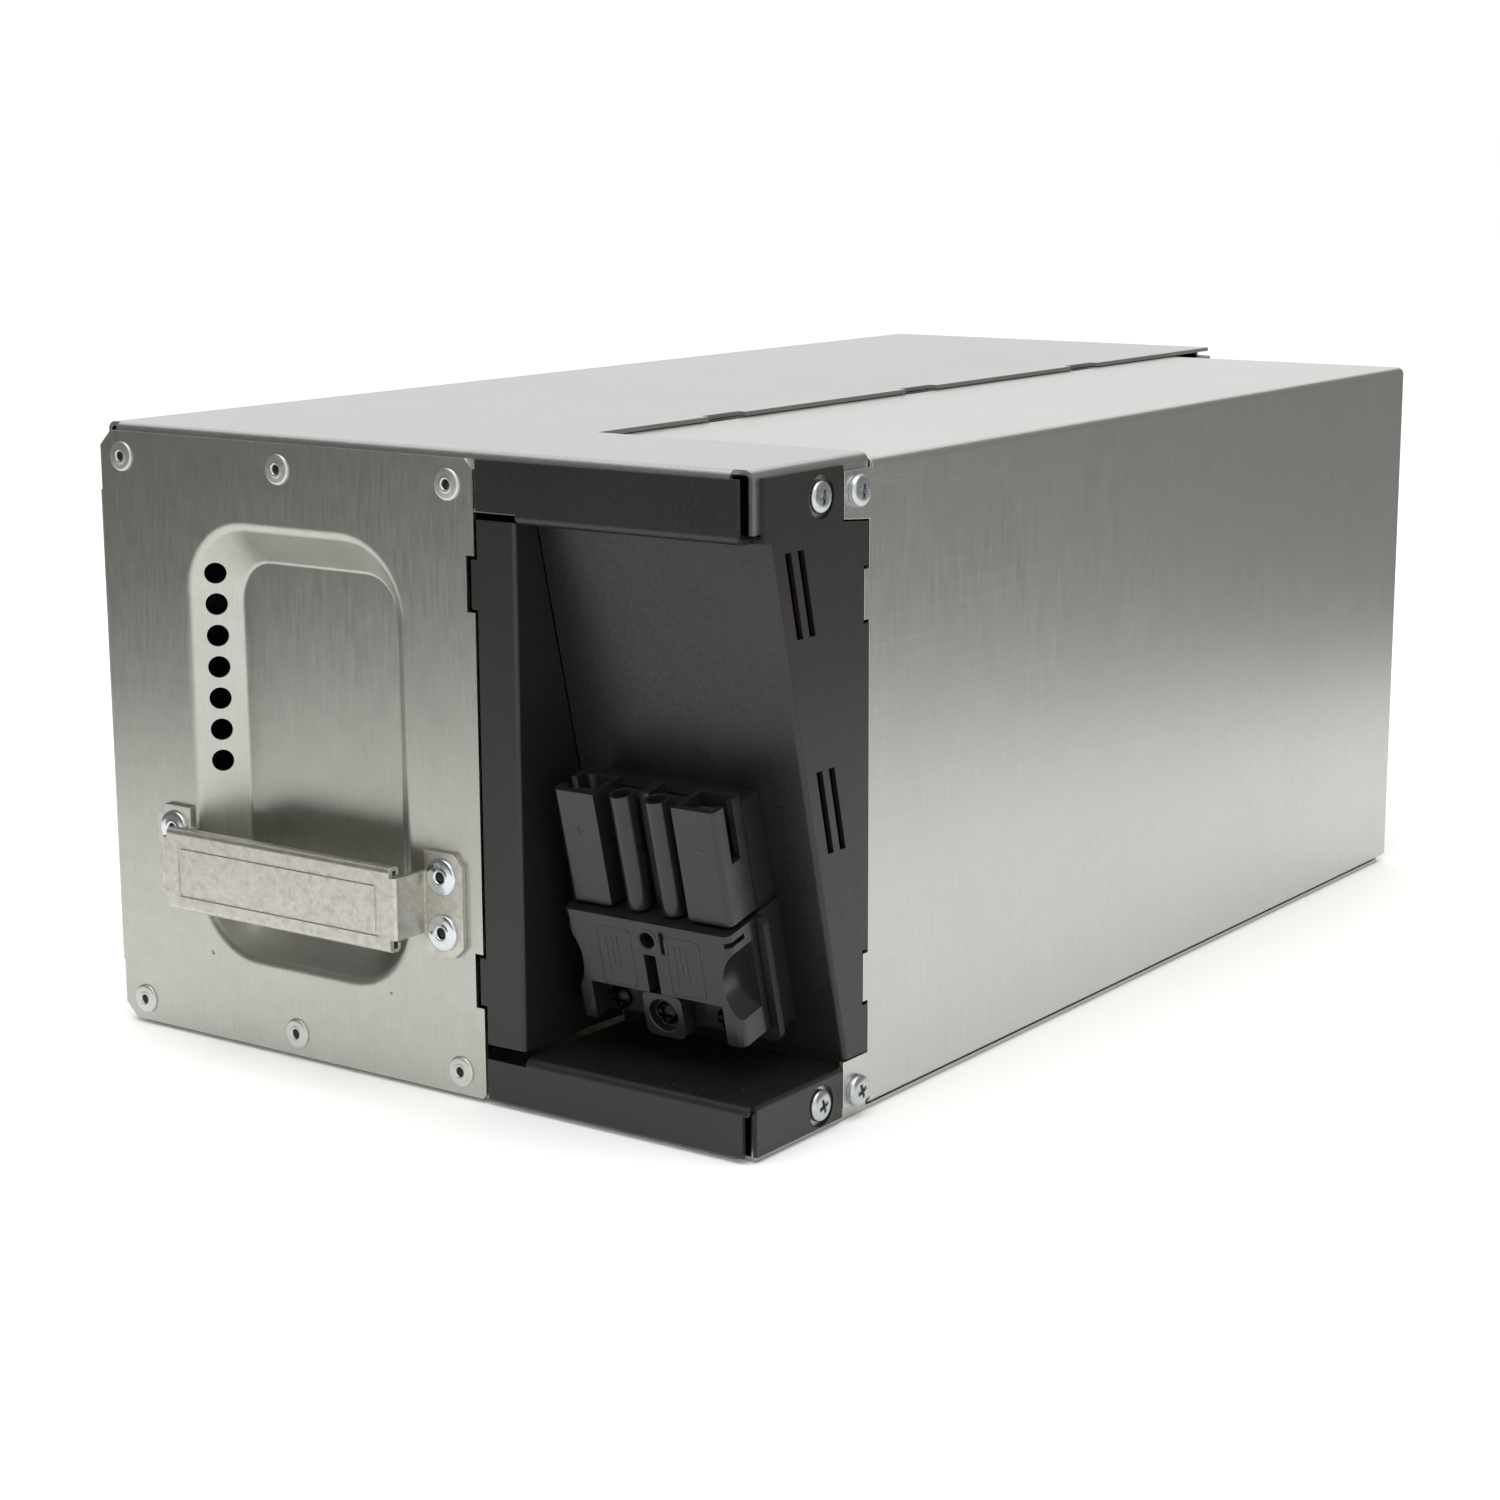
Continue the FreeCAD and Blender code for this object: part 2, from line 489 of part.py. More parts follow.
def make_handle():
    """A bent strap: two riveted ears, two short legs and a wide grip with rolled edges."""
    body = new_body("handle")
    low_ear, high_ear = "strap_mid - ear_tall / 2", "strap_mid + ear_tall / 2"
    low_leg, high_leg = "strap_mid - leg_tall / 2", "strap_mid + leg_tall / 2"
    low_grip, high_grip = "strap_mid - 0.5 - grip_tall / 2", "strap_mid - 0.5 + grip_tall / 2"
    bar_left, bar_right = "strap_left + strap_ear", "strap_right - strap_ear"
    lip = "hem - strap_metal"
    curl = [("-strap_out", low_grip), ("-strap_out + hem", low_grip),
            ("-strap_out + hem", low_grip + " + " + lip),
            ("-strap_out + hem - 1", low_grip + " + " + lip), ("-strap_out + hem - 1", low_grip + " + 1"),
            ("-strap_out + strap_metal", low_grip + " + 1"),
            ("-strap_out + strap_metal", high_grip + " - 1"),
            ("-strap_out + hem - 1", high_grip + " - 1"),
            ("-strap_out + hem - 1", high_grip + " - (" + lip + ")"),
            ("-strap_out + hem", high_grip + " - (" + lip + ")"), ("-strap_out + hem", high_grip),
            ("-strap_out", high_grip)]
    pad(body, "Grip", "YZ", curl, bar_left + " + 0.6", bar_right + " - 0.6")
    ends = [(("y", y), ("z", z)) for y in ("-strap_out", "-strap_out + hem") for z in (low_grip, high_grip)]
    soften(body, "GripRolls", "1.4", edge_at("x", ends))
    face = box_outline(bar_left + " - strap_metal", bar_right + " + strap_metal", low_leg, high_leg)
    pad(body, "Face", "XZ", face, "-strap_out", "-strap_out + strap_metal")
    for name, inner, outer, tip in (("Left", bar_left, bar_left + " - strap_metal", "strap_left"),
                                    ("Right", bar_right, bar_right + " + strap_metal", "strap_right")):
        leg = [(inner, "-strap_out"), (inner, "0"), (tip, "0"), (tip, "-strap_metal"),
               (outer, "-strap_metal"), (outer, "-strap_out")]
        pad(body, name + "Leg", "XY", leg, low_leg, high_leg)
        ear = box_outline("%s" % outer, tip, low_ear, high_ear)
        pad(body, name + "Ear", "XZ", ear, "-strap_metal", "0")
    corners = [(("x", "strap_left"), ("z", z)) for z in (low_ear, high_ear)]
    corners += [(("x", "strap_right"), ("z", z)) for z in (low_ear, high_ear)]
    soften(body, "EarCorners", "ear_cut", edge_at("y", corners), "Chamfer")
    folds = [(("x", bar_left + " - strap_metal"), ("y", "-strap_out")),
             (("x", bar_right + " + strap_metal"), ("y", "-strap_out"))]
    soften(body, "LegFolds", "1.2", edge_at("z", folds))
    holes = [(x, z, "grip_rivet_dia + 2 * play") for x, z in handle_rivet_spots()]
    drill(body, "RivetHoles", "XZ", holes, "-strap_metal - 0.5", "0.5")
    sketch = new_sketch(body, "BeadSketch", "XZ", "-strap_out - 0.1")
    for inset in ("bead_in", "bead_in + bead_wide"):
        draw_outline(sketch, box_outline("%s + %s" % (bar_left, inset), "%s - (%s)" % (bar_right, inset),
                                         "%s + %s - 0.5" % (low_grip, inset),
                                         "%s - (%s) + 0.5" % (high_grip, inset)))
    checked_cut(body, grow(body, "Bead", "Pocket", sketch, "XZ", "-strap_out - 0.1",
                           "-strap_out + bead_deep"))


# ---------------------------------------------------------------- connector bay
def slant_y(z, offset="0"):
    """Where the sloping panel is at a height; offset is measured straight back."""
    return "panel_y + (panel_z - (%s)) * slope + (%s)" % (z, offset)


def make_bay_panel():
    """One bent black sheet: top lip, ledge, sloping back, side cheek, shelf and shelf lips."""
    body = new_body("bay_panel")
    thick = "metal * lean"
    right = "width - metal"
    channel = [("0", "lip_low + 2"), ("0", "panel_z"), ("panel_y", "panel_z"),
               (slant_y("shelf_z"), "shelf_z"),
               ("0", "shelf_z"), ("0", "plate_low + fit"), ("metal", "plate_low + fit"),
               ("metal", "shelf_low"),
               (slant_y("shelf_low", thick), "shelf_low"), (slant_y("ledge_top", thick), "ledge_top"),
               ("metal", "ledge_top"), ("metal", "lip_low + 2")]
    pad(body, "Channel", "YZ", channel, "bay_wall + 0.2", right)
    folds = [(("y", "0"), ("z", "panel_z")), (("y", "0"), ("z", "shelf_z"))]
    soften(body, "OuterFolds", "bend", edge_at("x", folds))
    hollows = [(("y", "metal"), ("z", "ledge_top")), (("y", "metal"), ("z", "shelf_low"))]
    soften(body, "InnerFolds", "bend - metal", edge_at("x", hollows))
    lip = box_outline("0", "metal", "lip_low + 0.4", "plate_high")
    pad(body, "Lip", "YZ", lip, "bay_left", right)
    front = box_outline("0", "metal", "plate_low + fit", "shelf_z - bend")
    pad(body, "FrontLip", "YZ", front, "bay_left", "bay_wall + 1")
    seam = box_outline("width - metal - seam_slot", "width", "plate_low", "shelf_z - bend")
    cut(body, "CornerSeam", "XZ", seam, "-1", "metal + 0.2")
    slot = box_outline("width - lip_slot", "width", "-1", "side_front")
    cut(body, "LipSlot", "XY", slot, "panel_z - 1", "plate_high + 1")
    tabbed = "side_back"
    cheek = [("side_front", "plate_high"), ("ear_front", "plate_high"), ("ear_front", "ear_low"),
             (tabbed, "ear_low - 1")]
    for first in ("tab_high", "tab_low"):
        top = first + " + tab_tall"
        cheek += [(tabbed, top), (tabbed + " - tab_out", top), (tabbed + " - tab_out", first),
                  (tabbed, first)]
    cheek += [(tabbed, "ear_high"), (slant_y("ear_high"), "ear_high"), ("panel_y", "panel_z"),
              ("side_front", "panel_z")]
    pad(body, "Cheek", "YZ", cheek, right, "width")
    slant_edges = slant_edge_at("width")
    soften(body, "CheekBend", "metal", slant_edges)
    kerb = box_outline("metal + 1.2", "ear_front", "plate_low + fit", "shelf_z")
    pad(body, "RightLip", "YZ", kerb, right, "width")
    soften(body, "KerbBend", "metal", edge_at("y", [(("x", "width"), ("z", "shelf_z"))]))
    dimples = [("side_screw_y", z, "side_dimple") for z in ("rivet_z", "upper_rivet_z")]
    drill(body, "Dimples", "YZ", dimples, "width - metal - 0.5", "width + 0.5")
    for name, top in (("Upper", "panel_z - 3"), ("Lower", "panel_z - 57")):
        for number in range(2):
            inset = "slot_inset + %d * slot_gap" % number
            low = "%s - slot_long" % top
            outline = [(slant_y(low, inset), low), (slant_y(low, inset + " + slot_wide"), low),
                       (slant_y(top, inset + " + slot_wide"), top), (slant_y(top, inset), top)]
            cut(body, "%sSlot%d" % (name, number), "YZ", outline, "width - metal - 0.5", "width + 0.5")
    for side, sign in (("Left", "-"), ("Right", "+")):
        window = box_outline("plug_mid %s stud_x - stud_hole / 2" % sign,
                             "plug_mid %s stud_x + stud_hole / 2" % sign,
                             "panel_z - stud_up / lean - stud_hole / 2 - 1",
                             "panel_z - stud_up / lean + stud_hole / 2 + 1")
        cut(body, side + "Window", "XZ", window, "panel_y + 10", "side_back")
    holes = [("plug_mid %s stud_x" % sign, "panel_z - dock_screw_up / lean + 0.1", "2.8") for sign in "-+"]
    drill(body, "DockScrewHoles", "XZ", holes, "panel_y + 10", "side_back")


def slant_edge_at(x_formula):
    """Choose the long edge down the slope at one x."""
    place_x = value(x_formula)
    long_enough = value("(panel_z - shelf_z) / 2")

    def wanted(edge):
        if edge.Curve.TypeId != "Part::GeomLine" or edge.Length < long_enough:
            return False
        way = edge.Curve.Direction
        return abs(edge.CenterOfMass.x - place_x) < 0.01 and abs(way.x) < 1e-6 and 0.05 < abs(way.y) < 0.9
    return wanted


def make_bay_left_wall():
    """The bay's left wall and the narrow front strip that locks into the front plate."""
    body = new_body("bay_left_wall")
    low, high = "shelf_z + 1.6", "lip_low - 1.6"
    strip = [("bay_left", low), ("bay_wall", low), ("bay_wall", high), ("bay_left", high)]
    for first in ("notch_high", "notch_low"):
        top = first + " + notch_tall - 2 * fit"
        base = first + " + 2 * fit"
        strip += [("bay_left", top), ("bay_left - 2", top), ("bay_left - 2", base), ("bay_left", base)]
    pad(body, "Strip", "XZ", strip, "0", "metal")
    wall = [("0.2", low), (slant_y(low), low), (slant_y(high), high), ("0.2", high)]
    pad(body, "Wall", "YZ", wall, "bay_wall - metal", "bay_wall")
    soften(body, "StripBend", "metal", edge_at("z", [(("x", "bay_wall"), ("y", "0"))]))


def make_service_cover():
    """The right side: wall, top and bottom flanges and the two screw ears."""
    body = new_body("service_cover")
    front = "side_back + fit"
    section = [("width", "cover_low"), ("width", "cover_top"), ("seam_x - tuck", "cover_top"),
               ("seam_x - tuck", "cover_top - metal"), ("width - metal", "cover_top - metal"),
               ("width - metal", "cover_low + metal"), ("width - tuck - metal", "cover_low + metal"),
               ("width - tuck - metal", "cover_low")]
    pad(body, "Wrap", "XZ", section, "roof_y + fit", "cover_end")
    outer = [(("x", "width"), ("z", "cover_low")), (("x", "width"), ("z", "cover_top"))]
    soften(body, "WrapOuter", "bend", edge_at("y", outer))
    inner = [(("x", "width - metal"), ("z", "cover_low + metal")),
             (("x", "width - metal"), ("z", "cover_top - metal"))]
    soften(body, "WrapInner", "bend - metal", edge_at("y", inner))
    edge = [(front, "ear_high - fit"), (front, "ear_low - 1 + fit")]
    for first in ("tab_low", "tab_high"):
        top, base = first + " + tab_tall - 2 * fit", first + " + 2 * fit"
        spot = 1 if first == "tab_low" else 5
        edge[spot:spot] = [(front, base), (front + " - tab_out", base), (front + " - tab_out", top),
                           (front, top)]
    wall = edge + [("ear_front + fit", "ear_low + fit"), ("ear_front + fit", "cover_top - bend"),
                   ("roof_y + 3", "cover_top - bend"), ("roof_y + 3", "cover_low + bend"),
                   ("ear_front + fit", "cover_low + bend"), ("ear_front + fit", "ear_high - fit")]
    pad(body, "Ears", "YZ", wall, "width - metal", "width")
    holes = [("cover_screw_y", z, "screw_dia + 2 * play") for z in ("rivet_z", "upper_rivet_z")]
    drill(body, "EarHoles", "YZ", holes, "width - metal - 0.5", "width + 0.5")
    for number in range(3):
        first = "hook_y + %d * hook_pitch" % number
        outline = box_outline("seam_x - hook_deep", "seam_x + 0.6", first, first + " + hook_len")
        cut(body, "HookHole%d" % number, "XY", outline, "cover_top - metal - 1", "cover_top + 1")


def make_rear_panel():
    """The stepped rear sheet: deep behind the left stack, shallow behind the service side."""
    body = new_body("rear_panel")
    step = [("metal", "depth - metal"), ("seam_x - metal", "depth - metal"),
            ("seam_x - metal", "cover_end - metal"),
            ("width - metal - fit", "cover_end - metal"), ("width - metal - fit", "cover_end"),
            ("seam_x", "cover_end"), ("seam_x", "depth"), ("metal", "depth")]
    pad(body, "Step", "XY", step, "cover_low + metal + fit", "cover_top - metal - fit")
    corners = [(("x", "seam_x"), ("y", "depth")), (("x", "seam_x - metal"), ("y", "cover_end - metal"))]
    soften(body, "StepBends", "bend", edge_at("z", corners))
    holes = [(x, z, "rivet_dia + 2 * play") for x in ("rivet_x + 6", "seam_x - rivet_x - 6")
             for z in ("rivet_z", "upper_rivet_z")]
    drill(body, "RivetHoles", "XZ", holes, "depth - metal - 0.5", "depth + 0.5")


def make_fasteners():
    """Rivets and screws of the case."""
    front = [(x, "0", z) for x in ("rivet_x", "rivet_mid", "rivet_far")
             for z in ("rivet_z", "upper_rivet_z")]
    rear = [(x, "depth", z) for x in ("rivet_x + 6", "seam_x - rivet_x - 6")
            for z in ("rivet_z", "upper_rivet_z")]
    grip = [(x, "-strap_metal", z) for x, z in handle_rivet_spots()]
    place(group_of("plate_rivets", lambda name: pop_rivet(name, "rivet", "2 * metal"), front, "front"))
    place(group_of("rear_rivets", lambda name: pop_rivet(name, "rivet", "2 * metal"), rear, "rear"))
    strap_grip = "strap_metal + metal"
    place(group_of("handle_rivets", lambda name: pop_rivet(name, "grip_rivet", strap_grip), grip, "front"))
    seat = "width - metal"
    bay = [(seat, "side_screw_y", z) for z in ("rivet_z", "upper_rivet_z")]
    cover = [("width", "cover_screw_y", z) for z in ("rivet_z", "upper_rivet_z")]
    place(group_of("bay_screws", lambda name: cross_screw(name, "screw_long - metal"), bay, "right"))
    place(group_of("cover_screws", lambda name: cross_screw(name, "screw_long"), cover, "right"))


# ---------------------------------------------------------------- connector
def make_connector_dock():
    """The fixed moulding on the sloping panel: a neck behind the plug, a flange plate and a foot."""
    body = sloped_body("connector_dock")
    neck_left, neck_right = "plug_mid - plug_half + 1.5", "plug_mid + plug_half - 1.5"
    pad(body, "Neck", "XY", box_outline(neck_left, neck_right, "-well_low - 1", "-dock_top"), "0.1",
        "dock_neck")
    base = box_outline(neck_left + " - 1", neck_right + " + 1", "-dock_low", "-plug_split - 1")
    pad(body, "Base", "XY", base, "0.1", "dock_out")
    pad(body, "Plate", "XY", box_outline("dock_left", "dock_right", "-dock_low", "-plug_split - 0.8"),
        "dock_out - 0.1", "dock_out + dock_plate")
    well = box_outline(neck_left + " + 2", neck_right + " - 2", "-well_low", "-dock_top - 2")
    cut(body, "Well", "XY", well, "dock_floor", "dock_out + dock_plate + 1")
    corners = [(("x", x), ("y", y)) for x in ("dock_left", "dock_right")
               for y in ("-dock_low", "-plug_split - 0.8")]
    soften(body, "PlateCorners", "2", edge_at("z", corners))
    studs = [("plug_mid %s stud_x" % sign, "-stud_up", "stud_dia") for sign in "-+"]
    drill(body, "StudHoles", "XY", studs, "0", "3")
    foot = box_outline("plug_mid - boss_foot / 2", "plug_mid + boss_foot / 2", "-boss_up - boss_foot / 2",
                       "-boss_up + boss_foot / 2")
    pad(body, "BossFoot", "XY", foot, "dock_out", "toe_out + 0.5")
    drill(body, "FootHole", "XY", [("plug_mid", "-boss_up", "3.3")], "toe_out - 2", "toe_out + 1")
    holes = [("plug_mid %s stud_x" % sign, "-dock_screw_up", "2.4") for sign in "-+"]
    drill(body, "ScrewHoles", "XY", holes, "0", "dock_floor + 1")


def make_plug_housing():
    """The mating half: two hollow power blocks with two round sleeves between them."""
    body = sloped_body("plug_housing")
    left, right = "plug_mid - plug_half", "plug_mid + plug_half"
    pad(body, "Web", "XY", box_outline(left + " + 1", right + " - 1", "-plug_split", "-plug_top - 3"),
        "block_back", "plug_back")
    pad(body, "LeftBlock", "XY", box_outline(left, left + " + block_wide", "-plug_split + 0.5",
                                             "-plug_top"), "block_back", "plug_face")
    pad(body, "RightBlock", "XY", box_outline(right + " - block_wide", right, "-plug_split + 0.5",
                                              "-plug_top"), "block_back", "plug_face")
    edges = [(("x", x), ("z", z)) for x in (left, right) for z in ("plug_face", "block_back")]
    soften(body, "BlockEdges", "1.6", edge_at("y", edges, "20"))
    for name, start in (("LeftSocket", left), ("RightSocket", right + " - block_wide")):
        hollow = box_outline(start + " + block_wall", start + " + block_wide - block_wall",
                             "block_back + block_wall", "plug_face - block_wall")
        socket(body, name, hollow)
    for name, sign in (("LeftSleeve", "-"), ("RightSleeve", "+")):
        sketch = new_sketch(body, name + "Sketch", "XZ", "-sleeve_low")
        draw_circle(sketch, "plug_mid %s sleeve_x" % sign, "sleeve_out", "sleeve_dia")
        grow(body, name, "Pad", sketch, "XZ", "-sleeve_low", "-plug_top")
        stem = box_outline("plug_mid %s sleeve_x - 1.2" % sign, "plug_mid %s sleeve_x + 1.2" % sign,
                           "-sleeve_low + 1", "-plug_top - 3")
        pad(body, name + "Stem", "XY", stem, "plug_back - 0.5", "sleeve_out - sleeve_bore / 2 - 0.3")
    pad(body, "Rib", "XY", box_outline("plug_mid - 1.5", "plug_mid + 1.5", "-plug_split", "-plug_top"),
        "block_back", "plug_face - 5")
    for name, outer in (("LeftSideSlot", left), ("RightSideSlot", right)):
        slot = box_outline(outer + " - block_wall - 0.4", outer + " + block_wall + 0.4",
                           "-plug_top - side_slot", "-plug_top + 1")
        cut(body, name, "XY", slot, "side_slot_low", "side_slot_high")
    bores = [("plug_mid %s sleeve_x" % sign, "sleeve_out", "sleeve_bore") for sign in "-+"]
    drill(body, "SleeveBores", "XZ", bores, "-plug_split + 8", "-plug_top + 1")


def socket(body, name, hollow):
    """Hollow a power block from its open upper end, leaving a floor."""
    cut(body, name, "XZ", hollow, "-plug_split + 8", "-plug_top + 1")


def make_plug_grip():
    """The finger grip: scooped sides, locking hole, guide groove and a recessed toe."""
    body = sloped_body("plug_grip")
    half = "plug_half + 0.8"
    left, right = "plug_mid - (%s)" % half, "plug_mid + (%s)" % half
    top, low = "-plug_split - 0.6", "-plug_low"
    pad(body, "Shell", "XY", box_outline(left, right, low, top), "plug_back", "grip_face")
    sides = [(("x", x), ("z", "grip_face")) for x in (left, right)]
    soften(body, "ShellSides", "1.8", edge_at("y", sides))
    toe = box_outline(left + " + toe_side", right + " - toe_side", low + " - 1", "-toe_up")
    cut(body, "Toe", "XY", toe, "toe_out", "grip_face + 1")
    groove = box_outline("plug_mid - groove_wide / 2", "plug_mid + groove_wide / 2", "-toe_up - 0.5",
                         "-lock_up - 4")
    cut(body, "Groove", "XY", groove, "toe_out + 1", "grip_face + 1")
    well = box_outline("plug_mid - boss_foot / 2 - boss_play", "plug_mid + boss_foot / 2 + boss_play",
                       low + " - 1",
                       "-boss_up + boss_foot / 2 + boss_play")
    cut(body, "FootWell", "XY", well, "plug_back - 1", "toe_out + 1")
    drill(body, "LockHole", "XY", [("plug_mid", "-lock_up", "lock_dia")], "plug_back - 1", "grip_face + 1")
    pill = box_outline("plug_mid + lock_dia - 0.4", "plug_mid + lock_dia + 1.6", "-lock_up - 3",
                       "-lock_up + 3")
    cut(body, "Pill", "XY", pill, "grip_face - 1", "grip_face + 1")
    scoops = [("%s %s (scoop - scoop_deep)" % (side, sign), "-scoop_mid", "2 * scoop")
              for side, sign in ((left, "-"), (right, "+"))]
    drill(body, "Scoops", "XY", scoops, "plug_back + 2", "grip_face + 1")
    for name, outer in (("LeftFingerSlot", left), ("RightFingerSlot", right)):
        slot = box_outline(outer + " - 1.6", outer + " + 1.6", "-plug_split - 2.4 - finger_slot",
                           "-plug_split - 2.4")
        cut(body, name, "XY", slot, "toe_out", "grip_face + 1")
    screws = [("plug_mid %s plug_screw_x" % sign, "-plug_screw_up", "3.2") for sign in "-+"]
    drill(body, "ScrewHoles", "XY", screws, "plug_back - 1", "toe_out + 1")


def make_connector_small_parts():
    """Boss and its screw, plug screws, dock screws, contacts and the studs behind the panel."""
    boss = sloped_body("guide_boss")
    half = "boss / 2"
    pad(boss, "Cap", "XY", box_outline("plug_mid - " + half, "plug_mid + " + half, "-boss_up - " + half,
                                       "-boss_up + " + half),
        "toe_out + 0.5", "boss_out")
    corners = [(("x", "plug_mid %s %s" % (a, half)), ("y", "-boss_up %s %s" % (b, half))) for a in "+-"
               for b in "+-"]
    soften(boss, "CapCorners", "2", edge_at("z", corners))
    drill(boss, "CapBore", "XY", [("plug_mid", "-boss_up", "screw_head + 0.6")], "boss_out - 2.4",
          "boss_out + 1")
    drill(boss, "CapHole", "XY", [("plug_mid", "-boss_up", "3.4")], "toe_out", "boss_out")
    seat = "boss_out - 2.4"
    small = dict(head="plug_screw_dia", rise="screw_rise", dia="3")
    lean_back(group_of("guide_screw", lambda name: cross_screw(name, "3", **small),
                       [("plug_mid", "-boss_up", seat)], "out"))
    plug = [("plug_mid %s plug_screw_x" % sign, "-plug_screw_up", "toe_out") for sign in "-+"]
    lean_back(group_of("plug_screws", lambda name: cross_screw(name, "3.5", **small), plug, "out"))
    tiny = dict(head="dock_screw_head", rise="1.2", dia="2")
    dock = [("plug_mid %s stud_x" % sign, "-dock_screw_up", "dock_floor") for sign in "-+"]
    lean_back(group_of("dock_screws", lambda name: cross_screw(name, "6", **tiny), dock, "out"))
    blades = [block("Blade" + word, "plug_mid %s (plug_half - block_wide / 2) - 3" % sign,
                    "plug_mid %s (plug_half - block_wide / 2) + 3" % sign, "-plug_split + 8.05",
                    "-plug_top - 2",
                    "(plug_face + block_back) / 2 - 0.8", "(plug_face + block_back) / 2 + 0.8")
              for word, sign in (("Left", "-"), ("Right", "+"))]
    contacts = doc.addObject("Part::Compound", "plug_contacts")
    contacts.Links = blades
    lean_back(keep("plug_contacts", contacts))
    studs = [("plug_mid %s stud_x" % sign, "-stud_up", "0") for sign in "-+"]
    lean_back(group_of("dock_studs", stud, studs, "out"))


def stud(name):
    """A threaded terminal stud with a nut, through the panel's window."""
    post = rod(name + "Post", "stud_dia / 2 - 0.1", "-stud_back", "2.4")
    nut = rod(name + "Nut", "stud_dia / 2 + 1.4", "-4.5", "-1.6")
    return join(name, [post, nut])


# ---------------------------------------------------------------- batteries and wiring
def battery_row(number):
    return "rows_start + %d * (block_deep + row_gap)" % number


def make_battery(label, on_left, number):
    """A sealed block stood on end: case, lid towards the aisle and a shallow vent strip."""
    body = new_body(label)
    front = battery_row(number)
    back = front + " + block_deep"
    base, rim, top = (("left_face", "left_lid - lid", "left_lid") if on_left
                      else ("right_face", "right_lid + lid", "right_lid"))
    low_x, high_x = (base, rim) if on_left else (rim, base)
    pad(body, "Case", "XY", box_outline(low_x, high_x, front, back), "block_floor", "block_top")
    lid_low, lid_high = (rim, top) if on_left else (top, rim)
    inset = "lid_step"
    pad(body, "Lid", "XY", box_outline(lid_low, lid_high, "%s + %s" % (front, inset),
                                       "%s - %s" % (back, inset)),
        "block_floor + lid_step", "block_top - lid_step")
    strip_low, strip_high = ("%s - 1" % top, "%s + 1" % top)
    outline = box_outline("%s + 18" % front, "%s - 18" % back, "block_floor + 40", "block_top - 40")
    cut(body, "VentStrip", "YZ", outline, strip_low if on_left else strip_high + " - 2", strip_high
        if on_left else top + " + 1")


def make_batteries():
    for number in range(4):
        make_battery("battery_left_%d" % (number + 1), True, number)
        make_battery("battery_right_%d" % (number + 1), False, number)


def make_terminals():
    """Flat tabs, two on each block's lid, as one group, and the straps between neighbours."""
    tabs, straps = [], []
    for side, lid, sign in (("Left", "left_lid", "+"), ("Right", "right_lid", "-")):
        for number in range(4):
            middle = battery_row(number) + " + block_deep / 2"
            for level, z in (("Low", "low_pole"), ("High", "high_pole")):
                tip = "%s %s tab_rise" % (lid, sign)
                low_x, high_x = (lid, tip) if sign == "+" else (tip, lid)
                tabs.append(block("Tab%s%d%s" % (side, number, level), low_x, high_x,
                                  middle + " - tab_wide / 2",
                                  middle + " + tab_wide / 2", z + " - tab_thick / 2",
                                  z + " + tab_thick / 2"))
        for number in range(3):
            z = "low_pole" if number % 2 == 0 else "high_pole"
            first = battery_row(number) + " + block_deep / 2"
            last = battery_row(number + 1) + " + block_deep / 2"
            start, end = "%s %s 1" % (lid, sign), "%s %s (1 + strap_high)" % (lid, sign)
            if sign == "-":
                start, end = end, start
            straps.append(block("Jumper%s%d" % (side, number), start, end, first, last,
                                z + " + tab_thick / 2", z + " + tab_thick / 2 + strap_thick"))
    z = "high_pole"
    middle = battery_row(3) + " + block_deep / 2"
    straps.append(block("JumperAcross", "left_lid + 1", "right_lid - 1", middle + " - 4", middle + " + 4",
                        z + " + tab_thick / 2", z + " + tab_thick / 2 + strap_thick"))
    for label, pieces in (("battery_terminals", tabs), ("series_jumpers", straps)):
        group = doc.addObject("Part::Compound", label)
        group.Links = pieces
        place(keep(label, group))


def lead(label, points):
    """An insulated lead: straight runs joined by tangent arcs, swept as one tube."""
    spots = [FreeCAD.Vector(*[value(word) for word in point]) for point in points]
    edges, start = [], spots[0]
    for before, corner, after in zip(spots, spots[1:], spots[2:]):
        come, leave = (corner - before), (after - corner)
        turn = come.getAngle(leave)
        radius = min(0.45 * min(come.Length, leave.Length) / math.tan(turn / 2), value("lead_bend"))
        back = radius * math.tan(turn / 2)
        come.normalize(), leave.normalize()
        first, last = corner - come * back, corner + leave * back
        bisector = (leave - come)
        bisector.normalize()
        middle = corner + bisector * (radius / math.cos(turn / 2) - radius)
        edges += [Part.LineSegment(start, first).toShape(), Part.Arc(first, middle, last).toShape()]
        start = last
    edges.append(Part.LineSegment(start, spots[-1]).toShape())
    path = Part.Wire(edges)
    ring = Part.Wire([Part.Circle(spots[0], spots[1] - spots[0], value("lead_dia") / 2).toShape()])
    tube = doc.addObject("Part::Feature", label)
    tube.Shape = path.makePipeShell([ring], True, False)
    place(keep(label, tube))


